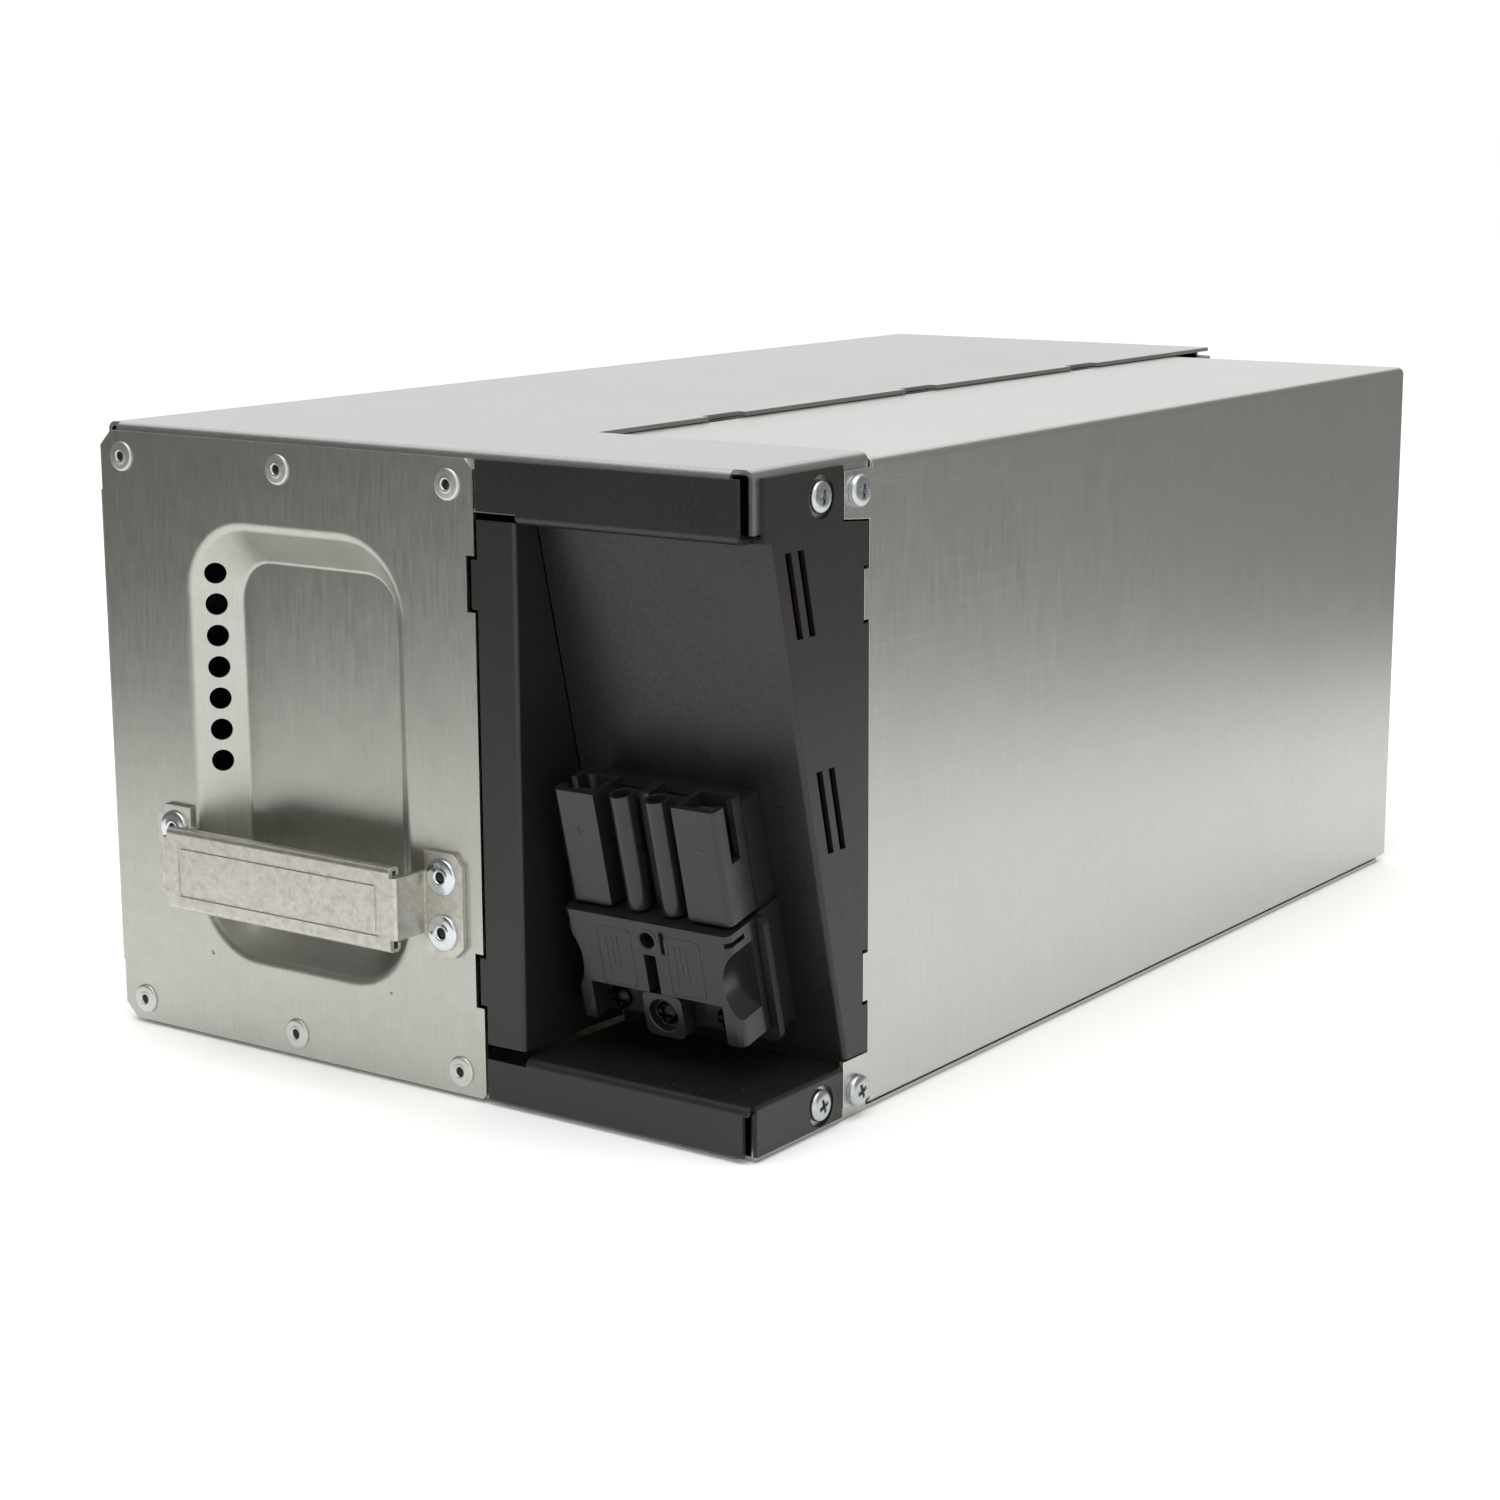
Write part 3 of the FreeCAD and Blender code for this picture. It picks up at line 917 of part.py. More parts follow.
def make_wiring():
    """Leads from the first blocks to the two studs."""
    stud_y = "panel_y + stud_up * sin(tilt) + (stud_back + 4) * cos(tilt)"
    stud_z = "panel_z - stud_up * cos(tilt) + (stud_back + 4) * sin(tilt)"
    tab_y = battery_row(0) + " + block_deep / 2"
    near = "rows_start - 10"
    left_tip, right_tip = "left_lid + lead_dia / 2 + 0.8", "right_lid - lead_dia / 2 - 0.8"
    high = "high_pole - tab_thick / 2 - lead_dia / 2 - 0.1"
    left = [(left_tip, tab_y, high), (left_tip, near, high), ("plug_mid + stud_x", near, high),
            ("plug_mid + stud_x", near, stud_z), ("plug_mid + stud_x", stud_y, stud_z)]
    lead("lead_positive", left)
    drop = "high_pole - 26"
    right = [(right_tip, tab_y, high), (right_tip, tab_y + " - 12", drop), (right_tip, near, drop),
             ("plug_mid - stud_x", near, drop), ("plug_mid - stud_x", near, stud_z),
             ("plug_mid - stud_x", stud_y, stud_z)]
    lead("lead_negative", right)


def make_linings():
    """Base liner, divider between bay and blocks, top film and the rear foam."""
    pieces = {
        "base_liner": ("left_face", "width - metal - tuck - 3", "rows_start", "rows_end", "metal + 0.1",
                       "block_floor - 0.05"),
        "top_film": ("left_face", "right_face", "rows_start", "rows_end", "block_top + 0.3",
                     "block_top + 0.3 + sheet_film"),
        "front_stop": ("left_face", "width - metal - tuck - 3", "rows_start - 0.2 - divider",
                       "rows_start - 0.2", "metal + 0.1", "low_pole + 10"),
        "rear_foam": ("left_face", "seam_x - 4", "rows_end + 0.2", "depth - 3 * metal", "block_floor + 10",
                      "block_top - 20"),
    }
    for label, limits in pieces.items():
        slab = block(label, *limits)
        place(keep(label, slab), "(%s)" % limits[0], "(%s)" % limits[2], limits[4])


# ---------------------------------------------------------------- build and save
def check_and_save():
    """Stop if anything failed, then write one file for each sub-part."""
    doc.recompute()
    for thing in doc.Objects:
        if "Invalid" in thing.State or "Error" in thing.State:
            raise RuntimeError("%s failed: %s" % (thing.Name, thing.State))
    os.makedirs("parts", exist_ok=True)
    for label, thing in parts.items():
        shape = thing.Shape
        if shape.isNull() or not shape.isValid():
            raise RuntimeError("%s has no valid shape" % label)
        shape.exportStep(os.path.join("parts", label + ".step"))
        print("%-20s %2d solids %10.1f mm3" % (label, len(shape.Solids), shape.Volume))


fill_sheet()
make_case_shell()
make_front_plate()
make_handle()
make_bay_panel()
make_bay_left_wall()
make_service_cover()
make_rear_panel()
make_fasteners()
make_connector_dock()
make_plug_housing()
make_plug_grip()
make_connector_small_parts()
make_batteries()
make_terminals()
make_wiring()
make_linings()
check_and_save()
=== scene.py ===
"""Looks of a sheet-steel rack battery cartridge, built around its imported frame.

The case is galvanised sheet with a dished front plate, a riveted strap handle and a black
powder-coated bay that holds a sliding power plug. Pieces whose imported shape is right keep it
and get a finish; the others are modelled here and stand for their node.
"""
import json
import logging
import math
from dataclasses import dataclass, field
from enum import Enum
from typing import Iterable, Optional, Sequence

import bmesh
import bpy
from mathutils import Matrix, Vector


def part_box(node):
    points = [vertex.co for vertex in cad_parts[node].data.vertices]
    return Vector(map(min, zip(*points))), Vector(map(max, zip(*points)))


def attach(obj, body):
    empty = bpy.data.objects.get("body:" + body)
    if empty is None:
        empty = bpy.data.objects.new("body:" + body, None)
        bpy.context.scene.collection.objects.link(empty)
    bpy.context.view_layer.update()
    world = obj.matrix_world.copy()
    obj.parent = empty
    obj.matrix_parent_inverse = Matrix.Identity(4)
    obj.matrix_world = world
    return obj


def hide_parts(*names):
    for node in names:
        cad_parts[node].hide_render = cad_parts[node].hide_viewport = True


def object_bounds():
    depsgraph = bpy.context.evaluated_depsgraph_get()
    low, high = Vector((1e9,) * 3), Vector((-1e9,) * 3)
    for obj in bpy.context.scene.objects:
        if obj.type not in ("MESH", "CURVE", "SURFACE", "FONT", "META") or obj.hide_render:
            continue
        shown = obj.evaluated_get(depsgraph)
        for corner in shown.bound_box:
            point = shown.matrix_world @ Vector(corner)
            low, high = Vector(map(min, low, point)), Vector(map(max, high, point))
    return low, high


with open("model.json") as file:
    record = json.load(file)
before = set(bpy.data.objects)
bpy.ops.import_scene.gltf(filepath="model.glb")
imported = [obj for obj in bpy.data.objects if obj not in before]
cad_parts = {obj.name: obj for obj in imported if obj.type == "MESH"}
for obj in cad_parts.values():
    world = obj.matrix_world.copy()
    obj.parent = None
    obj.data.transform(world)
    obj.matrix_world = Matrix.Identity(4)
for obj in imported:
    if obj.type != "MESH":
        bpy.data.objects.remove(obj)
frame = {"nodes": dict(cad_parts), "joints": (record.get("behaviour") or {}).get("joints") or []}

CAD_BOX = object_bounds()
LOG = logging.getLogger("rack_battery")
MM = 0.001
# How near two corners lie when they are one, and the most that a flat surface's faces differ.
JOIN_DISTANCE = 0.002 * MM
FLAT_ANGLE = math.radians(0.6)


class Body(Enum):
    """The rigid bodies that pieces ride on."""

    CASE = "case"
    COVER = "cover"
    PLUG = "plug"


class Grain(Enum):
    """Which way the rolling marks of a sheet run, as a scale for each axis."""

    UPRIGHT = (1.0, 1.0, 0.035)
    BACKWARDS = (1.0, 0.035, 1.0)


# ------------------------------------------------------------------------------ materials
def linear(hex_colour: str) -> tuple[float, float, float, float]:
    """Turn an sRGB hex colour into linear RGBA.

    Args:
        hex_colour: Six hex digits, such as "b4b6b2".

    Returns:
        The linear red, green and blue, and an alpha of one.
    """
    parts = [int(hex_colour[at:at + 2], 16) / 255 for at in (0, 2, 4)]
    red, green, blue = (c / 12.92 if c <= 0.04045 else ((c + 0.055) / 1.055) ** 2.4 for c in parts)
    return red, green, blue, 1.0


def add_node(tree: bpy.types.NodeTree, kind: str, inputs: Optional[dict] = None,
             **settings: object) -> bpy.types.Node:
    """Add one shader node.

    Args:
        tree: The node tree that gets it.
        kind: The node's type name without its "ShaderNode".
        inputs: For each input's name or number, an output socket to link or a plain value.
        settings: The node's own properties.

    Returns:
        The new node.
    """
    node = tree.nodes.new("ShaderNode" + kind)
    for name, setting in settings.items():
        setattr(node, name, setting)
    for name, given in (inputs or {}).items():
        if isinstance(given, bpy.types.NodeSocket):
            tree.links.new(given, node.inputs[name])
        else:
            node.inputs[name].default_value = given
    return node


@dataclass(frozen=True)
class Finish:
    """A plain finish: a colour with a mottle and a fine bump, the base of the others."""

    name: str
    colour: str
    roughness: float
    metallic: float = 0.0
    mottle: float = 0.06
    mottle_mm: float = 9.0
    bump_mm: float = 0.0
    bump_size_mm: float = 0.8
    ior: float = 1.5

    def make(self) -> bpy.types.Material:
        """Build the material, or return it if it is there already."""
        ready = bpy.data.materials.get(self.name)
        if ready:
            return ready
        material = bpy.data.materials.new(self.name)
        material.use_nodes = True
        tree = material.node_tree
        shader = tree.nodes["Principled BSDF"]
        shader.inputs["Base Color"].default_value = linear(self.colour)
        shader.inputs["Roughness"].default_value = self.roughness
        shader.inputs["Metallic"].default_value = self.metallic
        if not self.metallic:
            shader.inputs["IOR"].default_value = self.ior
        place = add_node(tree, "TexCoord").outputs["Object"]
        self.dress(tree, shader, place)
        material.diffuse_color = linear(self.colour)
        return material

    def noise(self, tree: bpy.types.NodeTree, place: bpy.types.NodeSocket, size_mm: float,
              detail: float = 2.0, stretch: Sequence[float] = (1.0, 1.0, 1.0)) -> bpy.types.NodeSocket:
        """A noise whose blobs measure size_mm, stretched where the scale is under one."""
        spread = add_node(tree, "Mapping", {"Vector": place, "Scale": tuple(stretch)})
        cloud = add_node(tree, "TexNoise", {"Vector": spread.outputs[0], "Scale": 1 / (size_mm * MM),
                                            "Detail": detail, "Roughness": 0.55})
        return cloud.outputs[0]

    def span(self, tree: bpy.types.NodeTree, amount: bpy.types.NodeSocket, low: float, high: float,
             start: float = 0.3, end: float = 0.7) -> bpy.types.NodeSocket:
        """Stretch a pattern's start to end over low to high."""
        ramp = add_node(tree, "MapRange", {0: amount, 1: start, 2: end, 3: low, 4: high}, clamp=True)
        return ramp.outputs[0]

    def tint(self, tree: bpy.types.NodeTree, base: object,
             factor: bpy.types.NodeSocket) -> bpy.types.NodeSocket:
        """Multiply a colour by a grey factor."""
        scale = add_node(tree, "VectorMath", {0: base, 1: factor}, operation="MULTIPLY")
        return scale.outputs[0]

    def bump(self, tree: bpy.types.NodeTree, shader: bpy.types.Node, height: bpy.types.NodeSocket,
             deep_mm: float) -> None:
        """Raise the surface by a pattern, deep_mm from its lowest to its highest."""
        relief = add_node(tree, "Bump", {"Height": height, "Distance": deep_mm * MM, "Strength": 1.0})
        tree.links.new(relief.outputs[0], shader.inputs["Normal"])

    def dress(self, tree: bpy.types.NodeTree, shader: bpy.types.Node, place: bpy.types.NodeSocket) -> None:
        """Add the mottle and the bump."""
        cloud = self.noise(tree, place, self.mottle_mm, 3.0)
        shade = self.span(tree, cloud, 1 - self.mottle, 1 + self.mottle)
        tree.links.new(self.tint(tree, linear(self.colour)[:3], shade), shader.inputs["Base Color"])
        gloss = self.span(tree, cloud, self.roughness - 0.04, self.roughness + 0.04)
        tree.links.new(gloss, shader.inputs["Roughness"])
        if self.bump_mm:
            self.bump(tree, shader, self.noise(tree, place, self.bump_size_mm, 2.0), self.bump_mm)


@dataclass(frozen=True)
class ZincSheet(Finish):
    """Galvanised steel sheet: rolling marks, faint spangle and cloudy gloss."""

    metallic: float = 1.0
    grain: Grain = Grain.UPRIGHT
    grain_mm: float = 0.5
    grain_depth: float = 0.1
    spangle_mm: float = 3.5
    spangle: float = 0.05
    stain: float = 0.0
    stain_mm: float = 7.0
    stain_colour: str = "7d756a"
    cloud_mm: float = 38.0
    cloud: float = 0.015
    grain_bump_mm: float = 0.004
    scratched: bool = False
    scratch_colour: str = "eeeeea"
    scratch_amount: float = 0.55
    hairs: tuple[tuple[float, float], ...] = ((0.62, 0.9), (-0.95, 1.3), (0.3, 1.1))
    hair_stretch: float = 0.016

    def dress(self, tree: bpy.types.NodeTree, shader: bpy.types.Node, place: bpy.types.NodeSocket) -> None:
        """Lay the grain, the spangle, the stains and the scratches over each other."""
        streak = self.noise(tree, place, self.grain_mm, 3.0, self.grain.value)
        flakes = add_node(tree, "TexVoronoi", {"Vector": place, "Scale": 1 / (self.spangle_mm * MM)})
        flake = add_node(tree, "SeparateColor", {0: flakes.outputs["Color"]}).outputs[0]
        cloud = self.noise(tree, place, self.cloud_mm, 3.0)
        shade = self.span(tree, streak, 1 - self.grain_depth, 1 + self.grain_depth)
        glint = self.span(tree, flake, 1 - self.spangle, 1 + self.spangle, 0.0, 1.0)
        shade = add_node(tree, "Math", {0: shade, 1: glint}, operation="MULTIPLY").outputs[0]
        wide = self.span(tree, cloud, 1 - self.cloud, 1 + self.cloud)
        shade = add_node(tree, "Math", {0: shade, 1: wide}, operation="MULTIPLY").outputs[0]
        colour = self.tint(tree, linear(self.colour)[:3], shade)
        rough = self.span(tree, streak, self.roughness - 0.05, self.roughness + 0.05)
        if self.stain:
            blot = self.span(tree, self.noise(tree, place, self.stain_mm, 6.0), 0.0, self.stain, 0.48, 0.7)
            mix = add_node(tree, "Mix", {0: blot, 6: colour, 7: linear(self.stain_colour)}, data_type="RGBA")
            colour = mix.outputs[2]
            rough = add_node(tree, "Math", {0: rough, 1: blot}, operation="ADD").outputs[0]
        if self.scratched:
            colour, rough = self.scratch(tree, place, colour, rough)
        tree.links.new(colour, shader.inputs["Base Color"])
        tree.links.new(rough, shader.inputs["Roughness"])
        self.bump(tree, shader, streak, self.grain_bump_mm)

    def scratch(self, tree: bpy.types.NodeTree, place: bpy.types.NodeSocket, colour: bpy.types.NodeSocket,
                rough: bpy.types.NodeSocket) -> tuple[bpy.types.NodeSocket, bpy.types.NodeSocket]:
        """Draw sparse hairline scratches that thin out towards the rear and the foot.

        Args:
            tree: The node tree.
            place: The pattern's coordinates.
            colour: The sheet's colour so far.
            rough: The sheet's roughness so far.

        Returns:
            The colour and the roughness with the scratches.
        """
        total = None
        for turn, size_mm in self.hairs:
            leaning = add_node(tree, "Mapping", {"Vector": place, "Rotation": (turn, 0.0, 0.0),
                                                 "Scale": (1.0, self.hair_stretch, 1.0)})
            hair = add_node(tree, "TexNoise", {"Vector": leaning.outputs[0], "Scale": 1 / (size_mm * MM),
                                               "Detail": 0.0}).outputs[0]
            line = self.span(tree, hair, 0.0, 1.0, 0.755, 0.765)
            total = line if total is None else add_node(
                tree, "Math", {0: total, 1: line}, operation="MAXIMUM").outputs[0]
        along = add_node(tree, "SeparateXYZ", {0: place})
        front = self.span(tree, along.outputs[1], 0.3, 0.0, CAD_BOX[0][1], 0.02)
        high = self.span(tree, along.outputs[2], 0.15, 1.0, 0.05, 0.12)
        amount = add_node(tree, "Math", {0: front, 1: high}, operation="MULTIPLY").outputs[0]
        amount = add_node(tree, "Math", {0: amount, 1: total}, operation="MULTIPLY").outputs[0]
        amount = add_node(tree, "Math", {0: amount, 1: self.scratch_amount},
                          operation="MULTIPLY").outputs[0]
        mix = add_node(tree, "Mix", {0: amount, 6: colour, 7: linear(self.scratch_colour)}, data_type="RGBA")
        keen = add_node(tree, "Math", {0: amount, 1: -0.12, 2: rough}, operation="MULTIPLY_ADD")
        return mix.outputs[2], keen.outputs[0]


@dataclass(frozen=True)
class PowderCoat(Finish):
    """Black polyester powder coat baked on steel: orange peel and a little dust."""

    peel_mm: float = 1.1
    peel_deep_mm: float = 0.035
    grit_mm: float = 0.35
    grit: float = 0.35
    cloud_mm: float = 24.0
    dust: float = 0.5
    dust_mm: float = 2.6
    dust_colour: str = "8d877c"

    def dress(self, tree: bpy.types.NodeTree, shader: bpy.types.Node, place: bpy.types.NodeSocket) -> None:
        """Add the orange peel, the cloudy shade and dust on the faces that look up."""
        peel = self.noise(tree, place, self.peel_mm, 2.0)
        fine = self.noise(tree, place, self.grit_mm, 1.0)
        height = add_node(tree, "Math", {0: fine, 1: self.grit, 2: peel}, operation="MULTIPLY_ADD").outputs[0]
        shade = self.span(tree, self.noise(tree, place, self.cloud_mm, 3.0), 0.86, 1.12)
        colour = self.tint(tree, linear(self.colour)[:3], shade)
        specks = add_node(tree, "TexVoronoi", {"Vector": place, "Scale": 1 / (self.dust_mm * MM)})
        speck = self.span(tree, specks.outputs["Distance"], 1.0, 0.0, 0.05, 0.1)
        up = add_node(tree, "SeparateXYZ", {0: add_node(tree, "NewGeometry").outputs["Normal"]}).outputs[2]
        lying = self.span(tree, up, 0.0, self.dust, 0.75, 0.98)
        amount = add_node(tree, "Math", {0: speck, 1: lying}, operation="MULTIPLY").outputs[0]
        mix = add_node(tree, "Mix", {0: amount, 6: colour, 7: linear(self.dust_colour)}, data_type="RGBA")
        tree.links.new(mix.outputs[2], shader.inputs["Base Color"])
        gloss = self.span(tree, peel, self.roughness - 0.06, self.roughness + 0.06)
        tree.links.new(gloss, shader.inputs["Roughness"])
        self.bump(tree, shader, height, self.peel_deep_mm)


# Galvanised steel, skin-passed: soft blurred reflections with fine upright rolling marks.
PLATE_ZINC = ZincSheet("galvanised_plate_brushed", "b5b5af", 0.34, grain_mm=0.35, grain_depth=0.07,
                       spangle=0.025)
# The same sheet on the case, where the marks run from front to rear.
SHEET_ZINC = ZincSheet("galvanised_sheet_rolled", "b3b4b2", 0.36, grain=Grain.BACKWARDS, grain_depth=0.05,
                       spangle=0.02)
# The cover's sheet, marked by handling.
COVER_ZINC = ZincSheet("galvanised_cover_scratched", "c0c1bd", 0.35, grain_mm=0.4, grain_depth=0.05,
                       spangle=0.012, scratched=True)
# The same zinc, dulled by the heat of the spot welds.
WELD_ZINC = ZincSheet("galvanised_weld_mark", "b2b2ac", 0.42, grain_depth=0.05, spangle=0.01)
# Hot-dipped strap: brighter, blotchy and stained by hands.
HANDLE_ZINC = ZincSheet("galvanised_strap_stained", "c4c2ba", 0.4, grain_depth=0.04, spangle=0.07,
                        spangle_mm=0.9, stain=0.13, stain_mm=2.2)
# Plated steel blind rivets of the plate: pale, dulled by the setting tool.
RIVET_STEEL = Finish("plated_rivet_satin", "cdcdc9", 0.42, metallic=1.0, mottle=0.05, mottle_mm=1.5,
                     bump_mm=0.01, bump_size_mm=0.4)
# Dark plugs in the rivets' hollow bores: painted shade of the bore.
RIVET_BORE_SHADE = Finish("rivet_bore_painted_shade", "3c3b38", 0.45, metallic=1.0, mottle=0.15, mottle_mm=0.8)
# The same rivets in the handle, larger and polished: bluish with hard highlights.
RIVET_BRIGHT = Finish("plated_rivet_bright", "cdd2d6", 0.17, metallic=1.0, mottle=0.05, mottle_mm=1.5,
                      bump_mm=0.01, bump_size_mm=0.9)
# Zinc-plated steel screws: bluish and shiny.
SCREW_ZINC = Finish("zinc_plated_screw", "bfc2c5", 0.3, metallic=1.0, mottle=0.07, mottle_mm=1.2,
                    bump_mm=0.008, bump_size_mm=0.5)
# Blackened steel screws: dark with a soft gleam.
SCREW_BLACK = Finish("black_oxide_screw", "2a2825", 0.34, metallic=1.0, mottle=0.1, mottle_mm=1.2)
# Powder-coated sheet of the bay: brownish black with orange peel.
BAY_POWDER = PowderCoat("powder_coat_black", "191714", 0.4)
# Moulded glass-filled nylon of the dock: matt black, made darker than its own tone as painted shade for the
# shadow it sits in.
DOCK_NYLON_SHADED = Finish("moulded_nylon_black_painted_shade", "0f0e0e", 0.5, mottle=0.08, bump_mm=0.012, bump_size_mm=0.5)
# Moulded polycarbonate of the plug: smooth black with clear highlights.
PLUG_PLASTIC = Finish("moulded_polycarbonate_black", "1d1c1a", 0.24, mottle=0.06, bump_mm=0.006,
                      bump_size_mm=0.7)
# The same moulding made paler on its raised ridges: painted highlight.
PLUG_RIDGE_HIGHLIGHT = Finish("moulded_polycarbonate_painted_highlight", "34322f", 0.4, mottle=0.2, mottle_mm=0.9)
# Tinned copper alloy of the contacts: soft white metal.
CONTACT_TIN = Finish("tinned_copper_alloy", "d3d0c6", 0.25, metallic=1.0, mottle=0.08, mottle_mm=2.0)
# ABS of the battery blocks: dark grey with a spark-eroded grain.
BLOCK_ABS = Finish("abs_dark_grey_grained", "3a3b3d", 0.55, mottle=0.05, bump_mm=0.03, bump_size_mm=0.6)
# PVC sleeves on the links between the blocks: black with a low sheen.
JUMPER_PVC = Finish("pvc_sleeve_black", "1f1f20", 0.38, mottle=0.08, mottle_mm=3.0, bump_mm=0.01)
# PVC insulation of the two leads.
LEAD_RED = Finish("pvc_insulation_red", "a01f1a", 0.42, mottle=0.05)
LEAD_BLACK = Finish("pvc_insulation_black", "1c1c1c", 0.42, mottle=0.05)
# Pressed fibre board liner, off-white with flecks.
LINER_BOARD = Finish("fibre_board_off_white", "cfcabb", 0.85, mottle=0.14, mottle_mm=1.4, bump_mm=0.08,
                     bump_size_mm=0.9)
# Polypropylene insulating film: milky and faintly glossy.
FILM_POLYPROPYLENE = Finish("polypropylene_film_milky", "b4b6b3", 0.3, mottle=0.04, mottle_mm=30.0)
# Closed-cell polyethylene foam: charcoal with small open pores at the cut.
FOAM_CHARCOAL = Finish("polyethylene_foam_charcoal", "2e2f31", 0.9, mottle=0.3, mottle_mm=1.1, bump_mm=0.3,
                       bump_size_mm=1.2)
# White card under the object.
TABLE_CARD = Finish("card_white", "f8f8f6", 0.95, mottle=0.002, mottle_mm=400.0, ior=1.2)


# ------------------------------------------------------------------------------ mesh helpers
def joined(node: str) -> bmesh.types.BMesh:
    """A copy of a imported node's mesh with its loose triangles joined at their corners."""
    bm = bmesh.new()
    bm.from_mesh(frame["nodes"][node].data)
    bmesh.ops.remove_doubles(bm, verts=bm.verts, dist=JOIN_DISTANCE)
    return bm


def add_object(bm: bmesh.types.BMesh, name: str) -> bpy.types.Object:
    """Put a mesh in the scene as an object, and free the mesh."""
    mesh = bpy.data.meshes.new(name)
    bm.to_mesh(mesh)
    bm.free()
    thing = bpy.data.objects.new(name, mesh)
    bpy.context.scene.collection.objects.link(thing)
    return thing


def shade_smooth(bm: bmesh.types.BMesh) -> None:
    """Mark every face smooth; the weighted normals of a finished piece keep its flats flat."""
    for face in bm.faces:
        face.smooth = True


def merged_copy(node: str) -> bmesh.types.BMesh:
    """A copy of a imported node's mesh with its loose triangles joined into flat faces.

    Args:
        node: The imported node's name.

    Returns:
        The joined mesh.
    """
    bm = joined(node)
    bmesh.ops.dissolve_limit(bm, angle_limit=FLAT_ANGLE, verts=bm.verts, edges=bm.edges)
    shade_smooth(bm)
    return bm


def solid_boxes(node: str) -> list[tuple[Vector, Vector]]:
    """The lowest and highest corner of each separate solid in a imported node, in its own order."""
    bm = joined(node)
    left, boxes = set(bm.verts), []
    for seed in bm.verts:
        if seed not in left:
            continue
        island, queue = [], [seed]
        left.discard(seed)
        while queue:
            vert = queue.pop()
            island.append(vert.co.copy())
            for edge in vert.link_edges:
                other = edge.other_vert(vert)
                if other in left:
                    left.discard(other)
                    queue.append(other)
        low = Vector(min(co[axis] for co in island) for axis in range(3))
        high = Vector(max(co[axis] for co in island) for axis in range(3))
        boxes.append((low, high))
    bm.free()
    return sorted(boxes, key=lambda pair: tuple(round(c, 5) for c in pair[0]))


def finish_piece(bm: bmesh.types.BMesh, name: str, body: Body, finish: Finish,
                 replaces: Sequence[str] = (), edge_mm: float = 0.0, segments: int = 2,
                 angle: float = 38.0) -> bpy.types.Object:
    """Make a mesh an object that rides on a body with a finish.

    Args:
        bm: The mesh, in the row frame. It is freed.
        name: The piece's name.
        body: The body that it rides on.
        finish: What it is made of.
        replaces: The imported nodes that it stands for.
        edge_mm: How far its sharp edges are rounded over.
        segments: How many strips a rounded edge has.
        angle: The least angle, in degrees, of an edge that is rounded.

    Returns:
        The new object.
    """
    piece = add_object(bm, name)
    piece.data.materials.append(finish.make())
    if edge_mm:
        rounding = piece.modifiers.new("edges", "BEVEL")
        rounding.width = edge_mm * MM
        rounding.segments = segments
        rounding.limit_method = "ANGLE"
        rounding.angle_limit = math.radians(angle)
        rounding.harden_normals = True
        rounding.use_clamp_overlap = True
    weights = piece.modifiers.new("flat_faces_first", "WEIGHTED_NORMAL")
    weights.mode = "FACE_AREA_WITH_ANGLE"
    weights.weight = 100
    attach(piece, body.value)
    if replaces:
        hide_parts(*replaces)
    LOG.info("%s: %d faces on %s", name, len(piece.data.polygons), body.value)
    return piece


def carved(bm: bmesh.types.BMesh, cutter: bmesh.types.BMesh) -> bmesh.types.BMesh:
    """Cut one mesh out of another.

    Args:
        bm: The mesh that is cut. It is freed.
        cutter: The closed mesh of what goes. It is freed.

    Returns:
        The mesh with the cut.
    """
    whole, tool = add_object(bm, "working"), add_object(cutter, "working")
    cutting = whole.modifiers.new("cut", "BOOLEAN")
    cutting.operation = "DIFFERENCE"
    cutting.solver = "EXACT"
    cutting.object = tool
    mesh = bpy.data.meshes.new_from_object(whole.evaluated_get(bpy.context.evaluated_depsgraph_get()))
    result = bmesh.new()
    result.from_mesh(mesh)
    for thing in (whole, tool):
        data = thing.data
        bpy.data.objects.remove(thing)
        bpy.data.meshes.remove(data)
    bpy.data.meshes.remove(mesh)
    shade_smooth(result)
    return result


def turned(profile: Sequence[tuple[float, float]], steps: int = 32) -> bmesh.types.BMesh:
    """Turn a profile round the z axis.

    Args:
        profile: (radius, height) corners in millimetres, the ends on the axis or a closed bore.
        steps: How many faces go round.

    Returns:
        The turned mesh, in metres, with its axis on z.
    """
    bm = bmesh.new()
    verts = [bm.verts.new((radius * MM, 0.0, height * MM)) for radius, height in profile]
    edges = [bm.edges.new(pair) for pair in zip(verts, verts[1:])]
    bmesh.ops.spin(bm, geom=verts + edges, cent=(0, 0, 0), axis=(0, 0, 1), angle=math.tau, steps=steps,
                   use_merge=True)
    bmesh.ops.remove_doubles(bm, verts=bm.verts, dist=0.001 * MM)
    bmesh.ops.recalc_face_normals(bm, faces=bm.faces)
    shade_smooth(bm)
    return bm


def repeated(bm: bmesh.types.BMesh, places: Iterable[Matrix]) -> bmesh.types.BMesh:
    """Join a copy of a mesh at each place into one mesh, and free the first."""
    mesh = bpy.data.meshes.new("working")
    bm.to_mesh(mesh)
    bm.free()
    total = bmesh.new()
    for place in places:
        before = len(total.verts)
        total.from_mesh(mesh)
        total.verts.ensure_lookup_table()
        bmesh.ops.transform(total, matrix=place, verts=total.verts[before:])
    bpy.data.meshes.remove(mesh)
    return total


def facing(spot: Vector, outward: Vector) -> Matrix:
    """The place of a turned piece whose axis points outward from a spot."""
    return Matrix.Translation(spot) @ outward.to_track_quat("Z", "Y").to_matrix().to_4x4()


